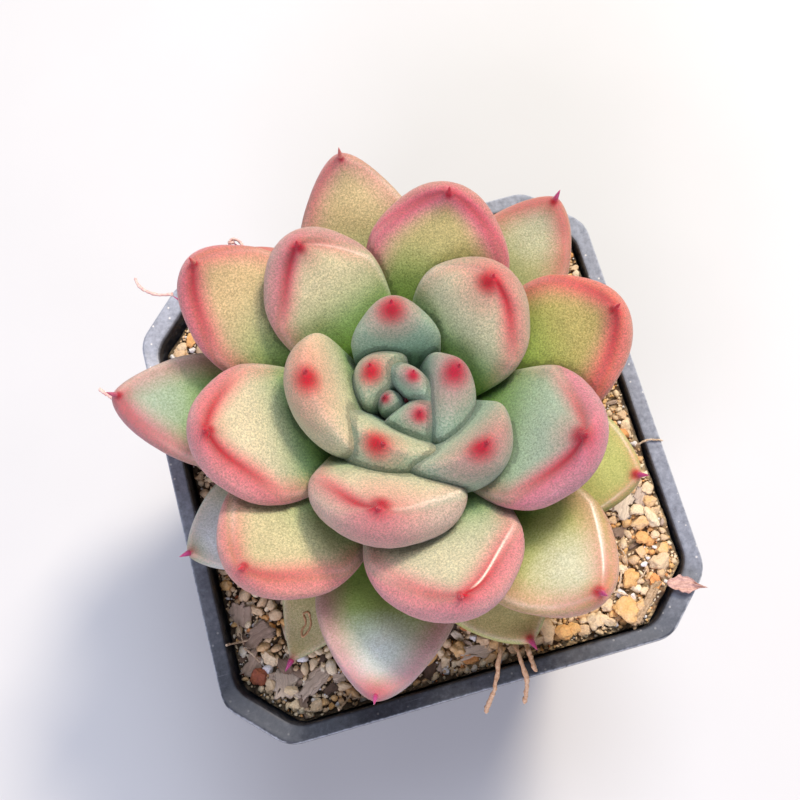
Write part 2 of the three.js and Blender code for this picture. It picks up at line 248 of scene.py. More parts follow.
# what changes with a leaf's place on the spiral, as (leaf, value), straight between the points
byAge = {
    "tipRise": [(0, 18.5), (2, 22), (4, 24.8), (8, 27.5), (12, 29.5), (18, 27.3), (24, 16.6), (32, 3)],
    "tipReach": [
        (0, 0.8), (2, 3), (4, 5.5), (6, 9), (8, 13), (10, 18), (12, 23), (14, 27), (17, 32), (20, 37),
        (23, 39.5), (32, 40),
    ],
    "baseRise": [(0, 12), (6, 11), (12, 9.5), (18, 7), (24, 4.5), (32, 2)],
    "baseReach": [(0, 0.8), (8, 2.5), (32, 5)],
    "halfWidth": [
        (0, 1.6), (1, 2.6), (3, 4.2), (5, 6.2), (8, 8.4), (11, 10.3), (15, 10.8), (20, 10.6), (32, 9),
    ],
    "belly": [(0, 1.6), (1, 2.4), (3, 4.2), (5, 5), (8, 6.8), (11, 6.6), (16, 6.2), (20, 5.2), (32, 2.8)],
    "crown": [(0, 0.8), (6, 0.6), (12, 0.28), (32, 0.18)],
    "cup": [(0, 0.15), (4, 0.28), (8, 0.25), (11, 0.1), (32, 0.03)],
    "sweep": [(0, 4), (12, 9), (24, 9), (32, 6)],
    "upturn": [(0, -10), (6, 0), (9, 20), (12, 32), (20, 36), (32, 22)],
    "baseWidth": [(0, 0.9), (8, 0.85), (10, 0.55), (32, 0.42)],
    "tipPower": [(0, 1.9), (8, 2.2), (16, 2.2), (32, 2)],
    "tipBlunt": [(0, 0.8), (8, 0.7), (18, 0.8), (32, 1)],
    "ridge": [(0, 0), (7, 0.1), (11, 1), (32, 0.9)],
    "spineLength": [(0, 0.5), (8, 0.8), (14, 1), (20, 1.7), (32, 2)],
    "spineRadius": [(0, 0.2), (8, 0.32), (32, 0.5)],
}
# how single leaves stray from the spiral: turn and curl in degrees, reach, lift, sway and hang in mm, the
# rest as shares of the rule's value
strays = [
    {"turn": -20},
    {"turn": 30, "reach": 0.2, "lift": 1.2, "sway": -1.4, "width": 0.78},
    {"turn": -14, "reach": -0.4, "lift": 1.6, "curl": -20, "width": 1.85, "depth": 0.7, "swell": 1.2,
     "point": 0.75},
    {"turn": 16, "reach": -0.1, "lift": -1, "sway": 0.3, "width": 1.2, "depth": 1.6, "swell": 0.45},
    {"turn": -4, "reach": -0.2, "lift": -1.2, "curl": -10, "depth": 0.85},
    {"turn": -8, "reach": 0.8, "lift": -0.8, "sway": 2.2, "hang": -5.5, "width": 1.15, "depth": 0.9},
    {"turn": 10, "reach": -0.4, "lift": -1.3, "sway": 1.7, "width": 1.25, "depth": 1.3, "swell": 0.3},
    {"turn": 2, "reach": 0.2, "width": 0.88, "depth": 0.75, "point": 0.8},
    {"turn": -9, "reach": 0.9, "lift": -0.8, "sway": 3.8, "depth": 1.1, "swell": 0.35},
    {"turn": 17, "reach": -3.4, "sway": -4.3, "width": 1.04, "depth": 0.85},
    {"turn": 5, "reach": 1, "sway": 0.9, "width": 0.98},
    {"turn": 1, "reach": -2.2, "width": 1.08, "sway": -0.7},
    {"turn": 3, "reach": 0.6, "width": 0.88},
    {"turn": -5, "reach": 0.8, "width": 1.03},
    {"turn": -12},
    {"turn": 6, "reach": -0.8},
    {"turn": -7, "width": 1.05},
    {"turn": -4, "reach": 1.6, "width": 0.9},
    {"turn": 3, "reach": -2.5},
    {"turn": -7, "reach": -2.5},
    {"turn": 5, "reach": -0.8, "width": 0.9, "point": 0.78},
    {"turn": -8, "reach": 1},
    {"turn": -3, "reach": 2.2, "width": 0.86, "point": 0.85},
    {"turn": 8, "reach": -1.4, "width": 0.85},
    {"turn": -2, "reach": 2.2, "width": 1.03, "point": 0.78},
    {"turn": 7, "reach": -5.2, "width": 0.85},
    {"turn": -8, "reach": -4},
    {"turn": 2, "reach": -2, "width": 0.84},
    {"reach": -7, "width": 0.8},
    {"turn": 2, "reach": -1.4},
    {"turn": -6, "reach": -4, "width": 0.6, "spine": 3},
    {"reach": -8, "width": 0.8},
    {"turn": 3, "width": 0.84, "point": 0.75},
]
unstrayed = {
    "turn": 0, "reach": 0, "lift": 0, "sway": 0, "hang": 0, "curl": 0,
    "width": 1, "depth": 1, "swell": 1, "point": 1, "spine": 1,
}
blade = {
    "widest": 0.62,  # share of the length
    "thickest": 0.55,
    "baseThickness": 0.5,
    "backPower": 2.6,  # how the back runs from its thickest line to the tip
    "backBlunt": 0.6,
    "rootEnd": (-0.06, 0.05),
    "ridgeAngle": 24,  # of the margin above the blade's widest line
    "ridgeStart": (0.1, 0.6),
    "ridgeEnd": (0.98, 1.01),
    "steepest": 72,  # of the margin near the tip
    "sideSwell": 0.7,  # how much of the back swells out below the margins
    "crownPower": 0.8,
    "cupStart": (0, 0.3),
    "cupEnd": (0.8, 1),
    "spinePower": 0.8,
    "bendEnd": 0.6,
    "bendSteps": 100,
    "walkSteps": 600,
    "upturnStart": 0.8,
    "least": 0.001,  # nothing is divided by less
    "rows": 60,
    "rowPower": 1.5,  # how the rings crowd towards the tip
    "spineRows": 6,
    "spineRowPower": 1.4,
    "upperColumns": 30,
    "upperCrowding": 0.3,
    "lowerColumns": 34,
    "lowerCrowding": 0.65,
    # by leaf: passes that round the margin, how the columns crowd there, how long the blade tapers into its
    # spine, in the spine's radii, and the height of the skin's slow undulation
    "roundings": [(0, 16), (8, 20), (9, 16), (10, 4), (20, 2), (32, 2)],
    "crowding": [(9, 0), (10, 1), (32, 1)],
    "taperLength": [(0, 2.2), (18, 2.2), (21, 4.5), (32, 5)],
    "waves": [(0, 0.1), (9, 0.24), (32, 0.4)],
    "waveSize": 7,
    "waveSeed": 7.3,
    "waveStart": (0, 0.2),
    "waveEnd": (0.88, 1),
    "rimmed": (8, 11),  # the leaves from which a pale line edges the blade
}
# How each leaf is coloured. spot, halo: radius of the crimson at the tip and of its blush. stretch: how much
# longer than wide the blush is. blush: its strength. lean: heading that the red is drawn out to, from +X.
# left, right: strength of the red streak on each margin, as seen from the stem. leftRun, rightRun: how far it
# runs from the tip. leftHip, rightHip: how that margin runs, from straight (1) to along the outline (2).
# belly: pink of the back. border: pink of the upper face beside the margins. warm: from lilac (0) to salmon
# (1). cream: pale yellow of the upper face. lime: from blue-green to yellow-green. olive: brownish yellow.
# bloom: white powder. base: share of the length that is green. gloss: shine of the left and right margins,
# and strength of the painted highlight beside them. redTip: red of the spine. rimmed: strength of the pale
# line along the margin.
leafLooks = [
    {"spot": 0.6, "halo": 1, "warm": 0, "lean": -106},
    {"spot": 0.8, "halo": 1.4, "warm": 0.1, "lean": -106},
    {"spot": 1.05, "halo": 2, "warm": 0.1, "lean": -106},
    {"spot": 1.2, "halo": 2.2, "warm": 0.2, "lean": -106},
    {"spot": 1.9, "halo": 3, "warm": 0.6, "lime": 0.2, "cream": 0.1, "lean": -100, "blush": 0.45},
    {"spot": 2.2, "halo": 4, "stretch": 1.6, "warm": 0.05, "blush": 0.55, "lean": -140},
    {"spot": 2.2, "halo": 3, "warm": 0.7, "cream": 0.3, "lime": 0.3, "blush": 0.45, "lean": 165},
    {"spot": 2.2, "halo": 3.8, "stretch": 1.3, "warm": 0.35, "blush": 0.55, "base": 0.75, "lean": -106},
    {"spot": 2.2, "halo": 4, "stretch": 2, "warm": 0.35, "blush": 0.55, "cream": 0.15, "lean": -152},
    {"spot": 2.2, "halo": 4, "stretch": 2.2, "warm": 0.7, "blush": 0.5, "cream": 0.5, "lime": 0.3,
     "lean": -95},
    {"spot": 1.9, "halo": 4.5, "right": 1, "rightRun": 11, "rightHip": 1, "leftHip": 1.9, "left": 0.3,
     "warm": 0.65, "cream": 0.4, "lime": 0.25, "belly": 0.3, "border": 0.15},
    {"spot": 1.9, "halo": 5.6, "right": 1, "rightRun": 12, "left": 0.2, "rightHip": 1, "leftHip": 1.1,
     "warm": 0.45, "cream": 0.6, "belly": 0.35, "border": 0.2, "gloss": (0.2, 0)},
    {"spot": 1.2, "halo": 3.4, "left": 0.95, "leftRun": 13, "right": 0.55, "rightRun": 9, "leftHip": 1,
     "rightHip": 1.4, "warm": 0.2, "cream": 0.5, "lime": 0.4, "belly": 0.5, "gloss": (0, 0.25)},
    {"spot": 1.9, "halo": 4.6, "right": 1, "rightRun": 14, "left": 0.75, "leftRun": 12, "rightHip": 1,
     "leftHip": 1.1, "warm": 0.3, "belly": 0.75, "lime": 0.1},
    {"spot": 1.2, "halo": 3, "left": 1, "leftRun": 15, "right": 0.95, "rightRun": 12, "leftHip": 1,
     "rightHip": 1.3, "warm": 0.6, "cream": 0.6, "belly": 0.75, "border": 0.2},
    {"spot": 0.8, "halo": 2.4, "left": 0.75, "leftRun": 14, "right": 0.8, "rightRun": 15, "leftHip": 1.5,
     "rightHip": 1.7, "warm": 0.3, "cream": 0.15, "lime": 0.75, "olive": 0.45, "belly": 0.6,
     "border": 0.85, "base": 0.65},
    {"spot": 0.8, "halo": 2.2, "left": 1, "leftRun": 13, "right": 0.6, "rightRun": 13, "leftHip": 1,
     "rightHip": 1.15, "warm": 0.55, "cream": 0.45, "lime": 0.1, "belly": 0.75, "border": 0.4,
     "gloss": (0.85, 0)},
    {"spot": 0.6, "halo": 2.2, "left": 0.9, "leftRun": 15, "right": 0.5, "rightRun": 12, "leftHip": 1.3,
     "warm": 0.45, "cream": 0.3, "lime": 0.45, "olive": 0.75, "belly": 0.75, "border": 0.3, "redTip": 0.2},
    {"spot": 0.9, "halo": 2.4, "left": 0.8, "leftRun": 17, "right": 0.85, "rightRun": 15, "leftHip": 1.7,
     "rightHip": 1.4, "warm": 0.85, "cream": 0.1, "lime": 0.95, "olive": 0.5, "belly": 0.75,
     "border": 0.6},
    {"spot": 0.9, "halo": 2.4, "left": 0.7, "leftRun": 15, "right": 0.5, "rightRun": 8, "leftHip": 1,
     "rightHip": 1.3, "warm": 0.6, "cream": 0.35, "lime": 0.4, "olive": 0.25, "belly": 0.7, "border": 0.3},
    {"spot": 0.6, "halo": 1.8, "left": 0.6, "leftRun": 12, "right": 0.2, "warm": 0.2, "cream": 0.4,
     "lime": 0.6, "olive": 0.5, "belly": 0.6, "border": 0.35, "redTip": 0.3},
    {"spot": 1.1, "halo": 2.2, "left": 0.3, "leftRun": 8, "right": 0.2, "leftHip": 1.3, "warm": 0.6,
     "cream": 0.3, "lime": 1, "olive": 0.2, "belly": 0.55, "border": 0.4, "bloom": 0.35, "base": 0.8,
     "gloss": (0.8, 0)},
    {"spot": 0.8, "halo": 2.2, "left": 0.6, "leftRun": 12, "right": 0.15, "leftHip": 1.4, "warm": 0.3,
     "lime": 0.2, "belly": 0.6, "border": 0.5, "bloom": 0.2, "base": 0.85, "redTip": 0.5},
    {"spot": 0.8, "halo": 2.4, "left": 0.55, "leftRun": 12, "right": 0.5, "rightRun": 12, "warm": 0.7,
     "cream": 0.3, "lime": 0.6, "belly": 0.5, "border": 0.5, "bloom": 0.2},
    {"spot": 0.3, "halo": 3, "left": 0.2, "right": 0.2, "warm": 0, "lime": 0.7, "belly": 0.4,
     "border": 0.6, "bloom": 0.75, "base": 0.75, "rimmed": 0.3, "redTip": 1},
    {"spot": 0.8, "halo": 2, "left": 0.4, "right": 0.6, "warm": 0.6, "cream": 0.6, "lime": 0.5,
     "belly": 0.4, "border": 0.5},
    {"spot": 0.9, "halo": 1.5, "left": 0.2, "right": 0.2, "warm": 0.8, "cream": 0.2, "lime": 0.9,
     "belly": 0.2, "gloss": (0.25, 0.35)},
    {"spot": 0.4, "halo": 1.2, "left": 0.1, "right": 0.1, "warm": 0.1, "lime": 0.3, "cream": 0.2,
     "belly": 0.2, "bloom": 0.9, "redTip": 1},
    {"spot": 0.7, "halo": 1, "warm": 0.5, "lime": 0.8, "belly": 0.2},
    {"spot": 0.7, "halo": 1.5, "warm": 0.5, "cream": 0.45, "lime": 1, "belly": 0.2, "border": 0.1},
    {"spot": 0.5, "halo": 1, "warm": 0.6, "lime": 0.6, "belly": 0.2},
    {"spot": 0.6, "halo": 1, "warm": 0.5, "lime": 0.8, "belly": 0.2},
    {"spot": 0.4, "halo": 1, "warm": 0, "cream": 0.5, "lime": 0.9, "belly": 0, "bloom": 0.1, "redTip": 1},
]
plainLook = {
    "spot": 1, "halo": 2, "stretch": 1, "blush": 0.6, "lean": None,
    "left": 0, "leftRun": 8, "leftHip": 1.9, "right": 0, "rightRun": 8, "rightHip": 1.9,
    "belly": 0.1, "border": 0.1, "warm": 0.5, "cream": 0, "lime": 0.1, "olive": 0, "bloom": 0,
    "base": 0.65, "gloss": (0, 0), "redTip": 0.8,
}
# Where the colours lie on a blade. Pairs are shares of the length between which a colour comes or goes, and
# widths are from the margin.
marks = {
    "aimRow": 0.6,  # of the rings to the tip: the blush is drawn out towards the upper face there
    "spotShift": 0.5,  # how far the spot is pushed along the lean, in its radii
    "spotEdge": (0.1, 1.5),  # in its radii
    "streakWidth": 0.75,
    "streakBack": 1.2,  # how much wider the streak is on the back
    "streakRed": 0.95,
    "flushWidth": 2,
    "flushRun": 1.2,
    "flushPink": 0.75,
    "glossWidth": 0.45,
    "glossStart": (0.45, 0.7),
    # painted highlight: a pale line this far inside each glossy margin, this wide, coming and going along the
    # length
    "highlightLine": 0.25,
    "highlightWidth": 0.17,
    "highlightStart": (0.62, 0.75),
    "highlightEnd": (0.9, 0.96),
    "borderWidth": 3,
    "borderStart": (0.4, 0.7),
    "bellyWidth": (0, 1.8),
    "bellyStart": (0.25, 0.6),
    "greenFade": (-0.35, 0.15),  # from the leaf's own base share
    "creamStart": (0.45, 0.8),
    "creamBack": 0.3,
    "bloomStart": (0.62, 0.82),
    "bloomEnd": (0.88, 1),
    "bloomWidth": 6,
    "edgeWidth": 0.5,
    "edgeStart": (0.3, 0.6),
    "oliveStart": (0.5, 0.85),
    "thornStart": (0.99, 1.02),
}


def read(points, x):
    return float(np.interp(x, [p[0] for p in points], [p[1] for p in points]))


def bladeBend(shape, s):
    sweep = shape["sweep"] * (2 * smooth(s, 0, blade["bendEnd"]) - 1)
    return np.radians(sweep + shape["upturn"] * smooth(s, blade["upturnStart"], 1))


def leafShape(index):
    own = {**unstrayed, **strays[index]}
    shape = {name: read(points, index) for name, points in byAge.items()}
    shape["sway"], shape["hang"] = own["sway"], own["hang"]
    shape["upturn"] += own["curl"]
    shape["taperLength"] = read(blade["taperLength"], index)
    shape["azimuth"] = math.radians(spiral["firstTurn"] - spiral["turn"] * index + own["turn"])
    for name, factor in (("halfWidth", "width"), ("belly", "depth"), ("crown", "swell"),
                         ("tipPower", "point"), ("spineLength", "spine")):
        shape[name] *= own[factor]
    shape["look"] = {**plainLook, "rimmed": float(smooth(index, *blade["rimmed"])), **leafLooks[index]}
    run = shape["tipReach"] + own["reach"] - shape["baseReach"]
    rise = shape["tipRise"] + own["lift"] - shape["baseRise"]
    bend = bladeBend(shape, (np.arange(blade["bendSteps"]) + 0.5) / blade["bendSteps"])
    along, across = np.cos(bend).mean(), np.sin(bend).mean()
    shape["length"] = math.hypot(run, rise) / math.hypot(along, across)
    shape["pitch"] = math.atan2(rise, run) - math.atan2(across, along)
    return shape


def leafShares(shape):
    # shares of the length where the rings lie, closer towards the tip; past 1 lies the spine
    even = np.linspace(0, 1, blade["rows"] - blade["spineRows"] + 1)
    shares = 1 - (1 - even) ** blade["rowPower"]
    spine = shape["spineLength"] / shape["length"]
    past = np.linspace(0, 1, blade["spineRows"] + 1)[1:]
    return np.concatenate([shares, 1 + spine * (1 - (1 - past) ** blade["spineRowPower"])])


def outlineShare(s, crest, base, power, blunt):
    # a blade's width or thickness as a share of the largest, which lies at its crest
    root = np.sqrt(smooth(s, *blade["rootEnd"]))
    past = np.clip((s - crest) / (1 - crest), 0, 1)
    return np.where(s < crest, root * (base + (1 - base) * smooth(s, 0, crest)), (1 - past ** power) ** blunt)


def bladeSections(shape, s):
    fromTip = (1 - s) * shape["length"]
    radius = shape["spineRadius"]
    taper = radius * shape["taperLength"]
    cone = radius * np.clip(1 + fromTip / shape["spineLength"], 0, 1) ** blade["spinePower"]
    spine = np.where(s < 1, radius * np.exp(-np.maximum(fromTip, 0) / taper), cone)
    width = outlineShare(s, blade["widest"], shape["baseWidth"], shape["tipPower"], shape["tipBlunt"])
    depth = outlineShare(s, blade["thickest"], blade["baseThickness"], blade["backPower"], blade["backBlunt"])
    pastWidest = np.clip((s - blade["widest"]) / (1 - blade["widest"]), 0, 1)
    rising = shape["ridge"] * smooth(s, *blade["ridgeStart"]) * (1 - smooth(s, *blade["ridgeEnd"]))
    plain = np.radians(blade["ridgeAngle"] * rising)

    def margin(hip):
        # the upper face narrows to the tip on its own line, inside the round outline of the back
        share = np.clip((1 - pastWidest ** hip) / np.maximum(width, blade["least"]), 0, 1)
        return np.maximum(plain, np.minimum(np.arccos(share), np.radians(blade["steepest"])) * rising)

    cupping = smooth(s, *blade["cupStart"]) * (1 - smooth(s, *blade["cupEnd"]))
    return {
        "half": np.hypot(shape["halfWidth"] * width, spine),
        "belly": np.hypot(shape["belly"] * depth, spine),
        "crown": np.hypot(shape["belly"] * shape["crown"] * depth, spine),
        "cup": shape["cup"] * shape["halfWidth"] * width * cupping,
        "left": margin(shape["look"]["leftHip"]),
        "right": margin(shape["look"]["rightHip"]),
        "deepness": 1 + blade["sideSwell"] * np.sin(plain),
    }


def sectionRings(section, roundings, crowding):
    # across and above of every ring, one row each: from the left margin over the upper face and back below
    upper, lower = blade["upperColumns"], blade["lowerColumns"]
    left, right, half, belly, crown, cup, deepness = (
        section[key][:, None] for key in ("left", "right", "half", "belly", "crown", "cup", "deepness"))
    over = left + (np.pi - left - right) * crowded(upper, blade["upperCrowding"] * crowding)
    under = np.pi - right + (np.pi + left + right) * crowded(lower, blade["lowerCrowding"] * crowding)
    angle = np.concatenate([over, under], axis=1)
    sine, cosine = np.sin(angle), np.cos(angle)
    across = half * cosine
    middle = half * (np.cos(left) - np.cos(right)) / 2
    reach = half * (np.cos(left) + np.cos(right)) / 2
    share = np.clip((across - middle) / np.maximum(reach, blade["least"]), -1, 1)
    top = crown * (1 - share * share) ** blade["crownPower"]
    # below the margin the side swells to its widest line, then rounds to the keel
    side = np.maximum(np.sin(np.where(cosine > 0, left, right)), blade["least"])
    depth = belly * deepness
    drop = depth * blade["sideSwell"] * side / (1 + blade["sideSwell"] * side)
    bottom = np.where(sine < 0, -drop + (depth - drop) * sine, -drop * (1 - sine / side))
    onTop = np.arange(upper + lower)[None, :] <= upper
    above = np.where(onTop, top, bottom) + cup * cosine ** 2
    for _ in range(roundings):
        across = (np.roll(across, 1, 1) + 2 * across + np.roll(across, -1, 1)) / 4
        above = (np.roll(above, 1, 1) + 2 * above + np.roll(above, -1, 1)) / 4
    return across, above


def crowded(count, much):
    # shares from 0 to just short of 1, closer together at both ends
    share = np.arange(count) / count
    return (share - much * np.sin(2 * np.pi * share) / (2 * np.pi))[None, :]


def walkMidline(shape, shares):
    fine = np.linspace(0, shares[-1], blade["walkSteps"])
    pitch = shape["pitch"] + bladeBend(shape, (fine[1:] + fine[:-1]) / 2)
    step = np.diff(fine) * shape["length"]
    reach = shape["baseReach"] + np.concatenate([[0], np.cumsum(np.cos(pitch) * step)])
    rise = shape["baseRise"] + np.concatenate([[0], np.cumsum(np.sin(pitch) * step)])
    at = lambda values: np.interp(shares, fine, values)[:, None]
    return at(reach), at(rise), (shape["pitch"] + bladeBend(shape, shares))[:, None]


def sidestep(shape, s):
    # how far the midline goes aside: sway at the tip, hang in the body alone
    s = np.clip(s, 0, 1)
    return shape["sway"] * s ** 2 + shape["hang"] * 4 * s ** 3 * (1 - s)


def slowWaves(index, s, along, across):
    # a slow undulation of the skin, its own on each leaf
    size, own = blade["waveSize"], index * blade["waveSeed"]
    wave = [noise.noise(Vector((a / size, b / size, own))) for a, b in zip(along.ravel(), across.ravel())]
    fade = smooth(s, *blade["waveStart"]) * (1 - smooth(s, *blade["waveEnd"]))
    return read(blade["waves"], index) * np.array(wave).reshape(s.shape) * fade


def marginDistances(across, above):
    # how far each point is from the left and the right margin along the skin, and which lie on the back
    upper = blade["upperColumns"]
    chord = np.hypot(np.roll(across, -1, 1) - across, np.roll(above, -1, 1) - above)
    run = np.concatenate([np.zeros((len(across), 1)), np.cumsum(chord, 1)], axis=1)
    total = run[:, -1:]
    run = run[:, :-1]
    back = np.arange(run.shape[1])[None, :] > upper
    return np.minimum(run, total - run), np.abs(run - run[:, upper:upper + 1]), back


def bell(distance, width):
    return np.exp(-(distance / width) ** 2)


def leafMasks(shape, s, across, above, places):
    # where each colour of the skin lies, 0 to 1, ring by ring
    look = shape["look"]
    toLeft, toRight, back = marginDistances(across, above)
    toMargin = np.minimum(toLeft, toRight)
    # distances from the tip, with the blush drawn out along the upper face or the lean
    tipRow = blade["rows"] - blade["spineRows"]
    fromTip = places - places[tipRow].mean(0)
    along = fromTip[int(tipRow * marks["aimRow"]), blade["upperColumns"] // 2]
    if look["lean"] is not None:
        lean = math.radians(look["lean"])
        along = np.array([math.cos(lean), math.sin(lean), 0])
    along = along / np.linalg.norm(along)
    inwards = fromTip @ along
    aside = np.linalg.norm(fromTip - inwards[..., None] * along, axis=-1)
    away = np.linalg.norm(fromTip, axis=-1)
    spotAway = np.linalg.norm(fromTip - along * look["spot"] * marks["spotShift"], axis=-1)
    spot = 1 - smooth(spotAway / look["spot"], *marks["spotEdge"])
    halo = look["blush"] * bell(np.hypot(aside, inwards / look["stretch"]), look["halo"])

    def streaks(width, reach):
        # the stronger of the two margins' streaks, which end at their own distances from the tip
        wide = np.where(back, width * marks["streakBack"], width)
        left = look["left"] * bell(toLeft, wide) * np.exp(-(away / (look["leftRun"] * reach)) ** 3)
        right = look["right"] * bell(toRight, wide) * np.exp(-(away / (look["rightRun"] * reach)) ** 3)
        return np.maximum(left, right)

    def glosses(line, width):
        leftGloss, rightGloss = look["gloss"]
        return np.maximum(leftGloss * bell(toLeft - line, width), rightGloss * bell(toRight - line, width))

    red = streaks(marks["streakWidth"], 1) * marks["streakRed"]
    pink = streaks(marks["flushWidth"], marks["flushRun"]) * marks["flushPink"]
    border = look["border"] * bell(toMargin, marks["borderWidth"]) * smooth(s, *marks["borderStart"])
    belly = look["belly"] * smooth(np.where(back, toMargin, 0), *marks["bellyWidth"])
    powder = look["bloom"] * smooth(s, *marks["bloomStart"]) * (1 - smooth(s, *marks["bloomEnd"]))
    line = look["rimmed"] * bell(toMargin, marks["edgeWidth"]) * smooth(s, *marks["edgeStart"])
    # painted highlight: a pale line just inside each glossy margin, on the upper face
    worn = np.where(back, 0, glosses(marks["highlightLine"], marks["highlightWidth"])) * smooth(s, *marks["highlightStart"])
    greenFrom, greenTo = (look["base"] + fade for fade in marks["greenFade"])
    same = np.ones_like(spot)
    return {
        "spot": np.maximum(np.where(s >= 1, look["redTip"], spot), red),
        "blush": np.where(s >= 1, look["redTip"], np.maximum(halo, pink)),
        "belly": np.maximum(belly * smooth(s, *marks["bellyStart"]), border),
        "green": 1 - smooth(s, greenFrom, greenTo),
        "cream": look["cream"] * smooth(s, *marks["creamStart"]) * np.where(back, marks["creamBack"], 1),
        "bloom": powder * bell(across, marks["bloomWidth"]),
        "edge": line * (1 - spot),
        "shine": glosses(0, marks["glossWidth"]) * smooth(s, *marks["glossStart"]),
        # painted highlight, ending short of the tip
        "worn": worn * (1 - smooth(s, *marks["highlightEnd"])),
        "warm": look["warm"] * same,
        "lime": look["lime"] * same,
        "olive": look["olive"] * smooth(s, *marks["oliveStart"]),
        "thorn": look["redTip"] * smooth(s, *marks["thornStart"]),
    }


def drawLeaf(index):
    shape = leafShape(index)
    shares = leafShares(shape)
    columns = blade["upperColumns"] + blade["lowerColumns"]
    roundings, crowding = read(blade["roundings"], index), read(blade["crowding"], index)
    across, above = sectionRings(bladeSections(shape, shares), round(roundings), crowding)
    s = np.repeat(shares[:, None], columns, 1)
    across[0] = above[0] = across[-1] = above[-1] = 0
    above = above + slowWaves(index, s, s * shape["length"], across)
    reach, rise, pitch = walkMidline(shape, shares)
    out = reach - above * np.sin(pitch)
    aside = across + sidestep(shape, s)
    azimuth = shape["azimuth"]
    places = np.stack([
        stem["x"] + out * math.cos(azimuth) - aside * math.sin(azimuth),
        stem["y"] + out * math.sin(azimuth) + aside * math.cos(azimuth),
        stem["rim"] + rise + above * np.cos(pitch),
    ], axis=-1)
    masks = leafMasks(shape, s, across, above, places)
    # a ball with a ring for each share and a column for each angle of the section
    deselect()
    bpy.ops.mesh.primitive_uv_sphere_add(segments=columns, ring_count=len(shares) - 1, radius=1)
    leaf = bpy.context.object
    ball = vertexArray(leaf.data)
    row = np.rint(np.arccos(np.clip(ball[:, 2], -1, 1)) / np.pi * (len(shares) - 1)).astype(int)
    column = np.rint(np.arctan2(ball[:, 1], ball[:, 0]) / (2 * np.pi) * columns).astype(int) % columns
    setVertices(leaf.data, places[row, column] * mm)
    for name, mask in masks.items():
        setAttribute(leaf.data, name, mask[row, column])
    leaf.data.flip_normals()
    leaf.data.shade_smooth()
    return leaf


# Epidermis under a waxy powder, farina: matt, pale and grainy, with a fleshy glow where the leaf is thin
# with painted shade where leaves touch, and a painted highlight beside the glossy margins
skinColours = {
    "young": {"blue": "#88ac95", "lime": "#a2b97c", "deep": "#63886a", "thorn": "#a8203c", "grain": 0.66},
    "grown": {"blue": "#a0b5a2", "lime": "#a9b450", "deep": "#6a942e", "thorn": "#c2384a", "grain": 0.66},
    "outer": {"blue": "#98b09a", "lime": "#a8b84c", "deep": "#688e2c", "thorn": "#b04a82", "grain": 0.4},
}
skinShades = {
    "olive": "#c09a5e",
    "cream": "#efd4ae",
    "lilac": "#cc7f9c",
    "salmon": "#dc8078",
    "redLilac": "#c43a68",
    "redSalmon": "#dc464c",
    "spotLilac": "#a4062e",
    "spotSalmon": "#bf0a1a",
    "powder": "#e0e9ee",
    "edge": "#e9dccb",
    # painted highlight, the pale line beside the glossy margins
    "worn": "#fff6e6",
}
# A span is the values of a pattern from and to, and what they are carried to at each end
paintedCreaseShade = [(-0.26, 0.24, 0.45, 1), (-0.9, 1, 0.72, 1)]  # painted shade: a dark line where leaves touch, and a softer shade round it
creaseReach = 3
skinFinish = {
    "grain": 0.27,
    "grainSpan": (0.37, 0.63),
    "mottle": 2.4,
    "mottleSpan": (0.3, 0.7, 0.95, 1.05),
    "raggedBy": {"cream": 0.14, "bloom": 0.12, "belly": 0.14, "blush": 0.16, "spot": 0.16},
    "raggedGate": 8,  # a mask is fully ragged from an eighth of its strength up
    "edge": 0.32,
    "rough": (0, 1, 0.6, 0.13),
    "bump": 0.1,
    "bumpSpan": (0, 1, 0.6, 0.05),
    "glow": 0.25,
    "glowDepth": 1.2,
    "sheen": 0.25,
}
skinMasks = ("spot", "blush", "belly", "green", "cream", "bloom", "edge", "shine", "warm", "lime", "olive",
             "thorn", "worn", "gap")


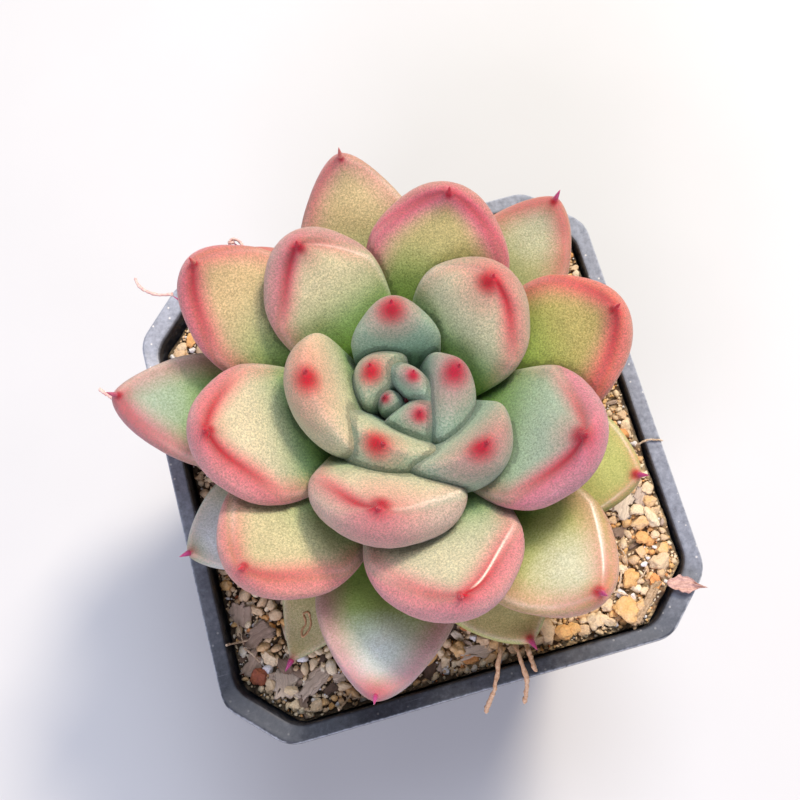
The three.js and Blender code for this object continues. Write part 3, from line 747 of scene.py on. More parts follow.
def makeLeafSkin(age):
    material, tree, place = newMaterial("farinaSkin" + age.capitalize())
    own = {**skinShades, **skinColours[age]}
    mask = {name: addNode(tree, "Attribute", {"attribute_name": name}, "Fac") for name in skinMasks}
    crystals = addNode(tree, "TexNoise", {
        "Vector": place, "Scale": fineness(skinFinish["grain"]), "Detail": 4, "Roughness": 0.8}, "Fac")
    grain = addNode(tree, "MapRange", {"Value": crystals, **span(*skinFinish["grainSpan"])})
    mottle = addNode(tree, "TexNoise", {
        "Vector": place, "Scale": fineness(skinFinish["mottle"]), "Detail": 3}, "Fac")

    def broken(name):
        # a mask whose border is broken up by the grain
        much = skinFinish["raggedBy"][name]
        push = addNode(tree, "Math", {"operation": "MULTIPLY_ADD", 0: grain, 1: much, 2: -much / 2})
        total = addNode(tree, "Math", {"operation": "ADD", 0: mask[name], 1: push})
        gate = addNode(tree, "Math", {
            "operation": "MULTIPLY", "use_clamp": True, 0: mask[name], 1: skinFinish["raggedGate"]})
        return addNode(tree, "Math", {"operation": "MULTIPLY", "use_clamp": True, 0: total, 1: gate})

    pink = paint(tree, own["lilac"], [(own["salmon"], mask["warm"])])
    red = paint(tree, own["redLilac"], [(own["redSalmon"], mask["warm"])])
    deepRed = paint(tree, own["spotLilac"], [(own["spotSalmon"], mask["warm"])])
    edge = addNode(tree, "Math", {"operation": "MULTIPLY", 0: mask["edge"], 1: skinFinish["edge"]})
    body = paint(tree, own["blue"], [
        (own["lime"], mask["lime"]),
        (own["olive"], mask["olive"]),
        (own["deep"], mask["green"]),
        (own["cream"], broken("cream")),
        (own["powder"], broken("bloom")),
        (pink, broken("belly")),
        (red, broken("blush")),
        (own["edge"], edge),
        (deepRed, broken("spot")),
        (own["thorn"], mask["thorn"]),
        # painted highlight beside the glossy margins
        (own["worn"], mask["worn"]),
    ])
    half = own["grain"] / 2
    light = addNode(tree, "MapRange", {"Value": grain, **span(0, 1, 1 - half, 1 + half)})
    clouds = addNode(tree, "MapRange", {"Value": mottle, **span(*skinFinish["mottleSpan"])})
    # painted shade: darker where leaves touch and in the nooks between them, by the gap to the neighbours
    creases = [
        addNode(tree, "MapRange", {"interpolation_type": "SMOOTHSTEP", "Value": mask["gap"], **span(*crease)})
        for crease in paintedCreaseShade
    ]
    for shade in (clouds, *creases):
        light = addNode(tree, "Math", {"operation": "MULTIPLY", 0: light, 1: shade})
    # the powder is rubbed thin along the margin and on the thorn, which shine a little
    shine = addNode(tree, "Math", {"operation": "MAXIMUM", 0: mask["shine"], 1: mask["thorn"]})
    relief = addNode(tree, "MapRange", {"Value": shine, **span(*skinFinish["bumpSpan"])})
    return finishMaterial(material, {
        "Base Color": addNode(tree, "VectorMath", {"operation": "SCALE", 0: body, "Scale": light}),
        "Roughness": addNode(tree, "MapRange", {"Value": shine, **span(*skinFinish["rough"])}),
        "Normal": addNode(tree, "Bump", {
            "Height": grain, "Strength": relief, "Distance": skinFinish["bump"] * mm}),
        "IOR": 1.4,
        "Subsurface Weight": skinFinish["glow"],
        "Subsurface Radius": (1, 0.55, 0.35),
        "Subsurface Scale": skinFinish["glowDepth"] * mm,
        "Sheen Weight": skinFinish["sheen"],
        "Sheen Roughness": 0.4,
    })


def markGaps(leaves):
    # how many whole millimetres each point of a leaf is from its neighbours, less than nothing inside one
    # the skin paints shade from these gaps, darkest where leaves touch
    trees = [surfaceTree(leaf) for leaf in leaves]
    for index, leaf in enumerate(leaves):
        near = [tree for other, tree in enumerate(trees) if abs(other - index) in spiral["neighbours"]]
        gaps = np.full(len(leaf.data.vertices), creaseReach)
        for vertex in leaf.data.vertices:
            for tree in near:
                spot, normal, _, away = tree.find_nearest(vertex.co, creaseReach * mm)
                if spot is not None:
                    side = 1 if (vertex.co - spot).dot(normal) > 0 else -1
                    gaps[vertex.index] = min(gaps[vertex.index], int(side * away / mm))
        setAttribute(leaf.data, "gap", gaps)


skins = {age: makeLeafSkin(age) for age in skinColours}
leaves = []
for index in range(spiral["leaves"]):
    node = f"leaf_{index + 1:02d}"
    age = "young" if index < spiral["young"] else "grown" if index < spiral["grown"] else "outer"
    slot = "bud_leaf" if index < spiral["buds"] else "leaf"
    leaves.append(finishPiece(drawLeaf(index), "skin_of_" + node, skins[age], slot, node))
markGaps(leaves)
rosette = surfaceTree(*leaves)
print("leaves drawn:", len(leaves))


# Pot
pot = {
    "rimHalf": 38,
    "wallTopHalf": 36.2,
    "baseHalf": 26,
    "cornerCut": 8.15,
    "cornerRadius": 1.8,
    "rimUnder": 60,
    "baseZ": 1.5,
    # half widths and heights from under the rim over its edge and down inside
    "rim": [
        (37.5, 60), (37.85, 60.5), (38, 61.5), (38, 63.2), (37.9, 63.8), (37.65, 64), (37.35, 63.95),
        (37.1, 63.82), (36, 63.75), (35.7, 63.6), (35.45, 63.1), (35.3, 60), (34.1, 53.5),
    ],
    "inside": [(25.6, 4.2), (25.1, 3.1)],
    "footRadius": 4.2,
    "footSunk": 0.8,  # into the floor
    "footRounding": 0.35,
    "footPlace": 20,
    "drainRadius": 3.4,
    "drainPlace": 15,
    "drainReach": (-2, 8),
    "smoothAngle": 32,
    # a painted highlight along the rim's outer edge, broken up like scuffs: where it lies
    "scuffAndHighlightEdge": (37.55, 37.8),  # outer edge of the rim, as half widths
    "scuffAndHighlightTop": (63, 63.7),
    "dustAndReflectionTop": (63.4, 63.7),
    "dustAndReflectionWay": (0.5, 0.87),  # the dust film and the painted sky reflection grow this way, to the back and the right
    "dustAndReflectionRun": (-24, 6),
    "dustAndReflectionLeast": 0.12,
}
cornerShare = 2 - pot["cornerCut"] / pot["rimHalf"]  # across a cut corner |x| + |y| is this many half widths


def selectUprights(mesh):
    made = bmesh.from_edit_mesh(mesh)
    for edge in made.edges:
        a, b = (v.co for v in edge.verts)
        edge.select_set(abs(a.z - b.z) > pot["baseHalf"] * mm)
    made.select_flush_mode()
    bmesh.update_edit_mesh(mesh)


def growRing(made, ring, now, profile):
    # an open edge grows ring by ring through half widths and heights, then it is closed
    for wide, high in profile:
        grown = bmesh.ops.extrude_edge_only(made, edges=ring)["geom"]
        ring = [part for part in grown if isinstance(part, bmesh.types.BMEdge)]
        for vertex in {v for edge in ring for v in edge.verts}:
            vertex.co = Vector((vertex.co.x * wide / now, vertex.co.y * wide / now, high * mm))
        now = wide
    bmesh.ops.contextual_create(made, geom=ring)


def drawShell():
    deselect()
    top, bottom, side = pot["rimUnder"] * mm, pot["baseZ"] * mm, 2 * pot["wallTopHalf"] * mm
    middle = (top + bottom) / 2
    bpy.ops.mesh.primitive_cube_add(size=1, location=(0, 0, middle), scale=(side, side, top - bottom))
    body = bpy.context.object
    bpy.ops.object.transform_apply(location=True, rotation=False, scale=True)
    bpy.ops.object.mode_set(mode="EDIT")
    bpy.ops.mesh.select_mode(type="EDGE")
    bpy.ops.mesh.select_all(action="DESELECT")
    selectUprights(body.data)
    cut = pot["cornerCut"] * (pot["wallTopHalf"] * mm) / pot["rimHalf"]
    bpy.ops.mesh.bevel(offset=cut, segments=1, affect="EDGES")
    selectUprights(body.data)
    bpy.ops.mesh.bevel(offset=pot["cornerRadius"] * mm, segments=4, affect="EDGES")
    made = bmesh.from_edit_mesh(body.data)
    lid = [face for face in made.faces if face.normal.z > 0.9]
    bmesh.ops.delete(made, geom=lid, context="FACES_ONLY")
    for vertex in made.verts:
        if vertex.co.z < middle:
            vertex.co.x *= pot["baseHalf"] / pot["wallTopHalf"]
            vertex.co.y *= pot["baseHalf"] / pot["wallTopHalf"]
    ring = [edge for edge in made.edges if edge.is_boundary]
    growRing(made, ring, pot["wallTopHalf"], pot["rim"] + pot["inside"])
    bmesh.update_edit_mesh(body.data)
    bpy.ops.object.mode_set(mode="OBJECT")
    faceOutwards(body)
    return body


def addPeg(x, y, low, high, radius, rounding):
    deselect()
    bpy.ops.mesh.primitive_cylinder_add(vertices=48, radius=radius * mm, depth=(high - low) * mm,
                                        location=(x * mm, y * mm, ((low + high) / 2) * mm))
    peg = bpy.context.object
    bpy.ops.object.transform_apply(location=True, rotation=False, scale=False)
    if rounding:
        bevel = peg.modifiers.new("rounding", "BEVEL")
        bevel.width = rounding * mm
        bevel.segments = 3
        bpy.ops.object.modifier_apply(modifier=bevel.name)
    return peg


def cutWith(body, tool, operation):
    selectOnly(body)
    cut = body.modifiers.new("cut", "BOOLEAN")
    cut.operation = operation
    cut.solver = "EXACT"
    cut.object = tool
    bpy.ops.object.modifier_apply(modifier=cut.name)
    bpy.data.objects.remove(tool)


def markRimWearAndLight(body):
    place = vertexArray(body.data) / mm
    across, deep = np.abs(place[:, 0]), np.abs(place[:, 1])
    edge = np.maximum(np.maximum(across, deep), (across + deep) / cornerShare)
    # a painted highlight along the outer edge of the rim, where it is also scuffed
    setAttribute(body.data, "scuffAndHighlight", smooth(edge, *pot["scuffAndHighlightEdge"]) * smooth(place[:, 2], *pot["scuffAndHighlightTop"]))
    # dust lies on the flat of the rim, with a painted reflection of the sky light, most at the back and the
    # right
    right, back = pot["dustAndReflectionWay"]
    share = smooth(place[:, 0] * right + place[:, 1] * back, *pot["dustAndReflectionRun"])
    dustAndReflection = pot["dustAndReflectionLeast"] + (1 - pot["dustAndReflectionLeast"]) * share
    setAttribute(body.data, "dust", smooth(place[:, 2], *pot["dustAndReflectionTop"]) * dustAndReflection)


def drawPot():
    body = drawShell()
    for x, y in ((0, 0), (1, 1), (-1, 1), (-1, -1), (1, -1)):
        place, top = pot["footPlace"], pot["baseZ"] + pot["footSunk"]
        foot = addPeg(x * place, y * place, 0, top, pot["footRadius"], pot["footRounding"])
        cutWith(body, foot, "UNION")
    for x, y in ((1, 0), (0, 1), (-1, 0), (0, -1)):
        hole = addPeg(x * pot["drainPlace"], y * pot["drainPlace"], *pot["drainReach"], pot["drainRadius"], 0)
        cutWith(body, hole, "DIFFERENCE")
    selectOnly(body)
    bpy.ops.object.shade_smooth_by_angle(angle=math.radians(pot["smoothAngle"]))
    markRimWearAndLight(body)
    return body


plasticLook = {
    "black": "#10151f",
    "dust": "#8d93a0",
    "dustSize": 0.9,
    "dustSpan": (0.5, 0.8, 0, 0.16),
    # dust film, and the painted reflection of the sky light on the rim's flat
    "dustFilmAndReflection": "#b4bac8",
    "dustFilmAndReflectionSpan": (0.25, 0.65, 0.45, 0.9),
    "speck": "#e6e4e0",
    "speckSpacing": 1.5,
    "speckSpan": (0.08, 0.14, 0.9, 0),
    # scratches, scuffs and the painted highlight along the rim's outer edge
    "scuffAndHighlight": "#b9bec8",
    "scuffAndHighlightSpan": (0.2, 0.55, 0, 0.9),
    "scratchLength": 9,
    "scratchWidth": 0.12,
    "scratchTurn": 0.6,  # radians
    "scratchSpan": (0.7, 0.8, 0, 0.3),
    "grain": 0.35,
    "bump": 0.03,
    "rough": (0.3, 0.7, 0.24, 0.42),
}


def makePlastic():
    # injection-moulded polypropylene: black with a soft satin shine, greyed by dust, with a painted
    # reflection of the sky light on the rim and a painted highlight along its scuffed outer edge
    material, tree, place = newMaterial("dustyPolypropylene")
    scuffAndHighlight = addNode(tree, "Attribute", {"attribute_name": "scuffAndHighlight"}, "Fac")
    dustAndReflection = addNode(tree, "Attribute", {"attribute_name": "dust"}, "Fac")
    dust = addNode(tree, "TexNoise", {
        "Vector": place, "Scale": fineness(plasticLook["dustSize"]), "Detail": 6, "Roughness": 0.7}, "Fac")
    dusty = addNode(tree, "MapRange", {"Value": dust, **span(*plasticLook["dustSpan"])})
    long, narrow = fineness(plasticLook["scratchLength"]), fineness(plasticLook["scratchWidth"])
    drawnOut = addNode(tree, "Mapping", {
        "Vector": place, "Rotation": (0, 0, plasticLook["scratchTurn"]), "Scale": (long, narrow, long)})
    scratch = addNode(tree, "TexNoise", {"Vector": drawnOut, "Scale": 1, "Detail": 2}, "Fac")
    scratched = addNode(tree, "MapRange", {"Value": scratch, **span(*plasticLook["scratchSpan"])})
    # the painted highlight along the outer edge, broken up by the dust like a scuff
    scuffedHighlight = addNode(tree, "Math", {"operation": "MULTIPLY", 0: scuffAndHighlight, 1: dust})
    scuffedHighlight = addNode(tree, "MapRange", {"Value": scuffedHighlight, **span(*plasticLook["scuffAndHighlightSpan"])})
    # dust film and painted sky reflection, paler towards the back and the right
    dustFilmAndReflection = addNode(tree, "MapRange", {"Value": dust, **span(*plasticLook["dustFilmAndReflectionSpan"])})
    dustFilmAndReflection = addNode(tree, "Math", {"operation": "MULTIPLY", 0: dustAndReflection, 1: dustFilmAndReflection})
    specks = addNode(tree, "TexVoronoi", {
        "Vector": place, "Scale": fineness(plasticLook["speckSpacing"])}, "Distance")
    speck = addNode(tree, "MapRange", {"Value": specks, **span(*plasticLook["speckSpan"])})
    speck = addNode(tree, "Math", {"operation": "MULTIPLY", 0: dustAndReflection, 1: speck})
    grain = addNode(tree, "TexNoise", {
        "Vector": place, "Scale": fineness(plasticLook["grain"]), "Detail": 2}, "Fac")
    height = addNode(tree, "Math", {"operation": "SUBTRACT", 0: grain, 1: scratched})
    return finishMaterial(material, {
        "Base Color": paint(tree, plasticLook["black"], [
            (plasticLook["dust"], dusty),
            (plasticLook["dustFilmAndReflection"], dustFilmAndReflection),
            (plasticLook["speck"], speck),
            (plasticLook["scuffAndHighlight"], scratched),
            (plasticLook["scuffAndHighlight"], scuffedHighlight),
        ]),
        "Roughness": addNode(tree, "MapRange", {"Value": dust, **span(*plasticLook["rough"])}),
        "Normal": addNode(tree, "Bump", {
            "Height": height, "Strength": 0.35, "Distance": plasticLook["bump"] * mm}),
        "IOR": 1.49,
        "Specular IOR Level": 0.2,
    })


finishPiece(drawPot(), "nursery_pot", makePlastic(), "pot", "pot")
print("pot drawn")


# Compost: a bed of dark fines, with clay grit, pumice, bark and fibres on it
bed = {
    "half": 35,  # at the wall under the rim
    "cells": 150,
    "depthBelowRim": 3.6,
    "slope": 0.02,
    "mound": 0.8,
    "moundReach": 16,
    "heap": 1,  # against the right wall
    "heapFrom": (18, 33),
    "clods": 0.7,
    "clodSize": 2.2,
    "fineClods": 0.3,  # their size as a share of the others
    "fineHeight": 0.5,
    "clodSeeds": (3.1, 9.7),
    "sunk": 0.35,
    "floorZ": 3.4,
    "floorHalf": 24.8,
}


def compostTop(x, y):
    mound = bed["mound"] * math.exp(-(math.hypot(x - stem["x"], y - stem["y"]) / bed["moundReach"]) ** 2)
    heap = bed["heap"] * float(smooth(x, *bed["heapFrom"]))
    return stem["rim"] - bed["depthBelowRim"] + bed["slope"] * x + mound + heap


def clods(x, y):
    coarse, fine = (Vector((x, y, seed)) for seed in bed["clodSeeds"])
    coarse = noise.noise(coarse / bed["clodSize"])
    fine = noise.noise(fine / (bed["clodSize"] * bed["fineClods"]))
    return bed["clods"] * (coarse + bed["fineHeight"] * fine) - bed["sunk"]


def drawBed():
    deselect()
    cells = bed["cells"]
    bpy.ops.mesh.primitive_grid_add(x_subdivisions=cells, y_subdivisions=cells, size=2 * bed["half"] * mm)
    ground = bpy.context.object
    cut = cornerShare * bed["half"] * mm / 2
    bpy.ops.object.mode_set(mode="EDIT")
    for x, y in ((1, 1), (-1, 1), (-1, -1), (1, -1)):
        bpy.ops.mesh.select_all(action="SELECT")
        bpy.ops.mesh.bisect(plane_co=(x * cut, y * cut, 0), plane_no=(x, y, 0), clear_outer=True)
    made = bmesh.from_edit_mesh(ground.data)
    for vertex in made.verts:
        x, y = vertex.co.x / mm, vertex.co.y / mm
        vertex.co.z = (compostTop(x, y) + clods(x, y)) * mm
    # the sides go down inside the pot's wall to its floor
    ring = [edge for edge in made.edges if edge.is_boundary]
    growRing(made, ring, bed["half"], [(bed["floorHalf"], bed["floorZ"])])
    bmesh.update_edit_mesh(ground.data)
    bpy.ops.object.mode_set(mode="OBJECT")
    faceOutwards(ground)
    ground.data.shade_smooth()
    return ground


# Single stones and flakes that the picture shows, as (pixel, long, wide, turn, tone). The pixel is where one
# lies, long and wide are its size, and turn is the heading of its long side, anticlockwise from +X. tone: 0
# red-brown, 0.2 orange, 0.4 ochre, 0.6 tan, 0.8 cream and 1 white, and for bark from 0 dark to 1 pale.
shown = {
    "grit": [
        ((637, 454), 4.3, 2.3, -58, 0.42), ((650, 475), 1.6, 1.1, 0, 0.8),
        ((652, 489), 2.3, 1.8, 20, 0.7), ((664, 504), 2.7, 1.8, -25, 0.5),
        ((669, 522), 3.8, 2.1, -80, 0.78), ((641, 522), 3.5, 2.1, 10, 0.5),
        ((654, 511), 1.8, 1.5, 40, 0.6), ((655, 534), 1.7, 1.4, 60, 0.72),
        ((642, 537), 2.7, 2.1, 0, 0.36), ((662, 548), 2.3, 1.9, 30, 0.48),
        ((641, 552), 1.9, 1.7, 0, 0.52), ((668, 565), 3.8, 2.7, 15, 0.62),
        ((644, 564), 1.2, 1, 0, 1), ((630, 578), 3.3, 2.7, 50, 0.4),
        ((622, 569), 1.9, 1.6, 0, 0.8), ((616, 578), 1.9, 1.4, 20, 0.3),
        ((645, 591), 1.9, 1.4, 0, 0.7), ((662, 587), 2.9, 2, 70, 0.25),
        ((627, 610), 4.4, 4, 10, 0.44), ((608, 606), 2.4, 2, 30, 0.66),
        ((659, 620), 3.1, 2, 20, 0.5), ((594, 621), 3, 2.6, 80, 0.72),
        ((615, 627), 3.5, 1.8, -25, 0.7), ((567, 634), 3.4, 2.6, 0, 0.38),
        ((573, 629), 2.4, 2.2, 60, 0.42), ((546, 631), 4.2, 2.7, 80, 0.6),
        ((589, 636), 2.4, 1.8, -20, 0.6), ((596, 645), 1.5, 1.2, 0, 0.8),
        ((544, 653), 3.4, 1.6, 5, 0.62), ((458, 648), 2.7, 2.6, 0, 0.46),
        ((483, 640), 2.1, 1.8, 0, 0.58), ((496, 643), 2.1, 1.8, 40, 0.46),
        ((513, 648), 2.5, 1.7, 80, 0.56), ((490, 658), 2.5, 1.4, 20, 0.5),
        ((473, 670), 3.7, 1.4, -10, 0.28), ((412, 681), 4.6, 1.6, 38, 0.22),
        ((436, 686), 1.6, 1.2, 40, 0.76), ((445, 661), 2.2, 1.6, 60, 0.72),
        ((256, 610), 2.6, 1.5, -25, 0.6), ((266, 618), 1.4, 1.1, 0, 0.36),
        ((250, 631), 1.1, 1, 0, 0.25), ((270, 658), 3, 2, -60, 0.74),
        ((252, 687), 3, 2.5, 45, 0.03), ((268, 691), 2.7, 1.9, 80, 0.68),
        ((278, 709), 3.6, 2.1, -15, 0.72), ((290, 716), 2, 1.9, 0, 0.72),
        ((316, 706), 2.4, 1.8, 60, 0.66), ((335, 698), 1.2, 1, 0, 0.45),
        ((312, 718), 2.3, 1.4, -20, 0.62), ((172, 331), 2.4, 2, 60, 0.36),
        ((159, 344), 2.5, 2, 30, 0.56), ((168, 357), 3, 1.7, 10, 0.5),
        ((180, 346), 2, 1.8, 10, 0.68), ((195, 478), 1.5, 1.1, 0, 0.62),
        ((217, 575), 1.7, 1.3, 0, 0.66), ((221, 589), 2.2, 1.8, 0, 0.42),
        ((574, 250), 1.6, 1.2, 60, 0.3), ((579, 262), 1.5, 1.1, 0, 0.62),
        ((636, 425), 2.4, 1.5, 60, 0.72), ((624, 415), 1.8, 1.5, 20, 0.6),
    ],
    "bark": [
        ((233, 620), 3.6, 2.8, 70, 0.6), ((260, 634), 4, 3, 20, 0.5),
        ((251, 667), 3.6, 2.4, 55, 0.6), ((286, 683), 4.4, 3.6, 80, 0.85),
        ((316, 680), 6, 2.1, 36, 0.75), ((302, 708), 3.4, 1.4, 80, 0.45),
        ((340, 678), 2, 1.6, 0, 0.8), ((480, 657), 5, 2, -6, 0.9),
        ((642, 498), 3.8, 2.1, 65, 0.75), ((623, 504), 3.6, 3, 60, 0.95),
        ((621, 531), 2.4, 1.6, 10, 0.35), ((448, 632), 3.2, 2, 30, 0.1),
        ((430, 668), 3, 1.5, 60, 0.2), ((330, 690), 2.6, 1.3, 20, 0.15),
        ((240, 648), 3, 1.4, 110, 0.3),
    ],
}
shownLie = {
    "thickness": {"grit": 0.75, "bark": 0.5},  # share of the width
    "rise": 0.3,  # share of the thickness
    "wallRoom": 0.55,  # share of the length
    "drawnIn": 0.99,
    "tip": 0.3,
}
# What is strewn by rule. tones: middle and spread near the right wall, and elsewhere. rise: how high its
# middle is above the compost, as a share of its size. The rooms and the lie are shares of the size too, apart
# from tip, which is in radians.
filler = {
    "seed": 5,
    "bare": 14,  # radius round the stem
    "rightFrom": 8,
    "sizePower": 1.4,
    "overlap": 0.6,  # share of a neighbour's radius that is kept clear
    "room": 0.3,
    "wallRoom": 0.5,
    "leafRoom": 0.45,
    "onClods": 0.6,
    "crowding": 1.2,  # from this size up the others keep clear of it
    "tries": 10,  # for each one that is wanted
    "flat": ["flakes"],
    "flatLie": {"tip": 0.5, "wide": (0.3, 0.8), "high": 0.5},
    "roundLie": {"tip": 3, "wide": (0.6, 0.95), "high": (0.55, 0.8)},
    "flakes": {"count": 250, "sizes": (1.2, 3.4), "tones": ((0.6, 0.2), (0.55, 0.25)), "rise": 0.16},
    "grit": {"count": 2450, "sizes": (1, 3.1), "tones": ((0.6, 0.16), (0.7, 0.16)), "rise": 0.14},
    "crumbs": {"count": 4500, "sizes": (0.35, 0.95), "tones": ((0.62, 0.2), (0.66, 0.25)), "rise": 0.15},
}
# A few shapes of each kind are made, and copied: how many, then the level of a stone's ball, the flats worn
# on it and its lumps, or the cuts of a flake
stoneShapes = {"pebbles": (8, 4, 9, 0.26), "grains": (10, 2, 7, 0.34), "specks": (5, 1, 4, 0.2)}
flakeShapes = {"slabs": (4, 9), "chips": (4, 2)}
# They are worked from balls and cubes of radius 1, and waves are how many lie along a radius
stoneWear = {
    "flatAt": (0.55, 0.85),
    "worn": 0.92,
    "lumpWaves": 1.6,
    "fineWaves": 4.5,
    "fineHeight": 0.4,
    "shift": 50,
}
flakeWear = {
    "torn": 0.55,
    "tornWaves": 1.3,
    "fineTorn": 0.35,
    "fineWaves": 4,
    "roundedBy": 0.17,
    "layers": (0.6, 4),  # waves along and across the grain
    "layerHeight": 0.25,
    "thin": 0.22,
    "shift": (50, 7),
    "farAside": 7,  # millimetres between the fibres of one flake and those of the next
}


def takeShape(thing):
    # a finished shape's points and faces; its object goes
    shape = vertexArray(thing.data), np.array([list(face.vertices) for face in thing.data.polygons])
    bpy.data.objects.remove(thing)
    return shape


def stoneBall(rng, level, facets, lumps):
    # a rounded lump with worn flats
    deselect()
    bpy.ops.mesh.primitive_ico_sphere_add(subdivisions=level, radius=1)
    stone = bpy.context.object
    places = vertexArray(stone.data)
    for _ in range(facets):
        way = np.array([rng.gauss(0, 1) for _ in range(3)])
        way /= np.linalg.norm(way)
        over = np.maximum(places @ way - rng.uniform(*stoneWear["flatAt"]), 0)
        places -= stoneWear["worn"] * over[:, None] * way
    shift = Vector((rng.uniform(-stoneWear["shift"], stoneWear["shift"]), 0, 0))
    for row, place in enumerate(places):
        lump = noise.noise(Vector(place) * stoneWear["lumpWaves"] + shift)
        fine = noise.noise(Vector(place) * stoneWear["fineWaves"] + shift)
        places[row] *= 1 + lumps * (lump + stoneWear["fineHeight"] * fine)
    setVertices(stone.data, places)
    return takeShape(stone)


def flakeSlab(rng, cuts):
    # a flat chip with a torn outline
    deselect()
    bpy.ops.mesh.primitive_cube_add(size=2)
    flake = bpy.context.object
    bpy.ops.object.mode_set(mode="EDIT")
    bpy.ops.mesh.subdivide(number_cuts=cuts)
    bpy.ops.mesh.quads_convert_to_tris()
    bpy.ops.object.mode_set(mode="OBJECT")
    places = vertexArray(flake.data)
    reach, aside = flakeWear["shift"]
    shift = Vector((rng.uniform(-reach, reach), aside, 0))
    along, across = flakeWear["layers"]
    for row, (x, y, z) in enumerate(places):
        flat = Vector((x, y, 0))
        coarse = flakeWear["torn"] * noise.noise(flat * flakeWear["tornWaves"] + shift)
        torn = 1 + coarse + flakeWear["fineTorn"] * noise.noise(flat * flakeWear["fineWaves"] + shift)
        cornersOff = 1 / max(x ** 4 + y ** 4, 1) ** flakeWear["roundedBy"]
        layer = flakeWear["layerHeight"] * noise.noise(Vector((x * along, y * across, 0)) + shift)
        places[row] = (x * torn * cornersOff, y * torn * cornersOff, z * flakeWear["thin"] + layer)
    setVertices(flake.data, places)
    return takeShape(flake)


class Strewing:
    # many copies of a few shapes, gathered and then made into one mesh
    def __init__(self):
        self.points, self.faces, self.tones, self.aside, self.count = [], [], [], [], 0

    def lay(self, shape, place, size, turn, tip, tone):
        points, faces = shape
        lean = Matrix.Rotation(tip[0], 3, "X") @ Matrix.Rotation(tip[1], 3, "Y")
        spin = Matrix.Rotation(math.radians(turn), 3, "Z") @ lean @ Matrix.Diagonal(Vector(size) / 2)
        self.points.append((points @ np.array(spin).T + np.array(place)) * mm)
        self.faces.append(faces + self.count)
        self.tones.append(np.full(len(points), tone))
        # millimetres across the shape, far from any other's, for the fibres of the bark
        self.aside.append(points[:, 1] * size[1] / 2 + flakeWear["farAside"] * len(self.aside))
        self.count += len(points)

    def make(self, name):
        mesh = bpy.data.meshes.new(name)
        mesh.from_pydata(np.concatenate(self.points), [], np.concatenate(self.faces))
        setAttribute(mesh, "tone", np.concatenate(self.tones))
        setAttribute(mesh, "aside", np.concatenate(self.aside))
        mesh.shade_smooth()
        thing = bpy.data.objects.new(name, mesh)
        bpy.context.scene.collection.objects.link(thing)
        return thing


def clearOfLeaves(place, radius):
    spot, normal, _, distance = rosette.find_nearest(place)
    return distance > radius and (place - spot).dot(normal) > 0


def insidePot(x, y, keep):
    half = bed["half"] - keep
    return max(abs(x), abs(y)) < half and abs(x) + abs(y) < cornerShare * half


def shownPlace(pixel, long, high):
    # on the compost under the pixel, drawn in from the pot's wall as far as its length asks
    ground = underPixel(pixel, stem["rim"] - bed["depthBelowRim"])
    place = underPixel(pixel, compostTop(ground.x, ground.y) + shownLie["rise"] * high)
    while not insidePot(place.x, place.y, long * shownLie["wallRoom"]):
        place.x *= shownLie["drawnIn"]
        place.y *= shownLie["drawnIn"]
    return place


def strew(rng, kind, shapes, into, taken):
    rule = filler[kind]
    flat, (small, large) = kind in filler["flat"], rule["sizes"]
    lie = filler["flatLie" if flat else "roundLie"]
    placed = tries = 0
    while placed < rule["count"] and tries < rule["count"] * filler["tries"]:
        tries += 1
        x, y = (rng.uniform(-bed["half"], bed["half"]) for _ in range(2))
        size = small + (large - small) * rng.random() ** filler["sizePower"]
        room = size * filler["wallRoom"]
        if math.hypot(x - stem["x"], y - stem["y"]) < filler["bare"] or not insidePot(x, y, room):
            continue
        if any(abs(x - a) < r + 1 and math.hypot(x - a, y - b) < filler["overlap"] * r + size * filler["room"]
               for a, b, r in taken):
            continue
        z = compostTop(x, y) + clods(x, y) * filler["onClods"] + rule["rise"] * size
        if not clearOfLeaves(Vector((x, y, z)) * mm, size * filler["leafRoom"] * mm):
            continue
        tip = [rng.uniform(-1, 1) * lie["tip"] for _ in range(2)]
        wide = size * rng.uniform(*lie["wide"])
        high = size * (lie["high"] if flat else rng.uniform(*lie["high"]))
        middle, spread = rule["tones"][0 if x > filler["rightFrom"] else 1]
        tone = min(1, max(0, rng.gauss(middle, spread)))
        into.lay(rng.choice(shapes), (x, y, z), (size, wide, high), rng.uniform(0, 360), tip, tone)
        if size > filler["crowding"]:
            taken.append((x, y, size / 2))
        placed += 1


def scatterCompost():
    rng = random.Random(filler["seed"])
    pebbles, grains, specks = (
        [stoneBall(rng, *look) for _ in range(count)] for count, *look in stoneShapes.values())
    slabs, chips = ([flakeSlab(rng, cuts) for _ in range(count)] for count, cuts in flakeShapes.values())
    large, grit, fines, bark, taken = Strewing(), Strewing(), Strewing(), Strewing(), []
    for into, kind, shapes in ((large, "grit", pebbles), (bark, "bark", slabs)):
        for number, (pixel, long, wide, turn, tone) in enumerate(shown[kind]):
            high = shownLie["thickness"][kind] * wide
            place = shownPlace(pixel, long, high)
            tip = [rng.uniform(-shownLie["tip"], shownLie["tip"]) for _ in range(2)]
            into.lay(shapes[number % len(shapes)], place, (long, wide, high), turn, tip, tone)
            taken.append((place.x, place.y, (long + wide) / 4))
    strew(rng, "flakes", chips, bark, taken)
    strew(rng, "grit", grains, grit, taken)
    strew(rng, "crumbs", specks, fines, taken)
    pieces = {"clay_pebbles": large, "clay_grit": grit, "clay_crumbs": fines, "bark_flakes": bark}
    return {name: strewing.make(name) for name, strewing in pieces.items()}


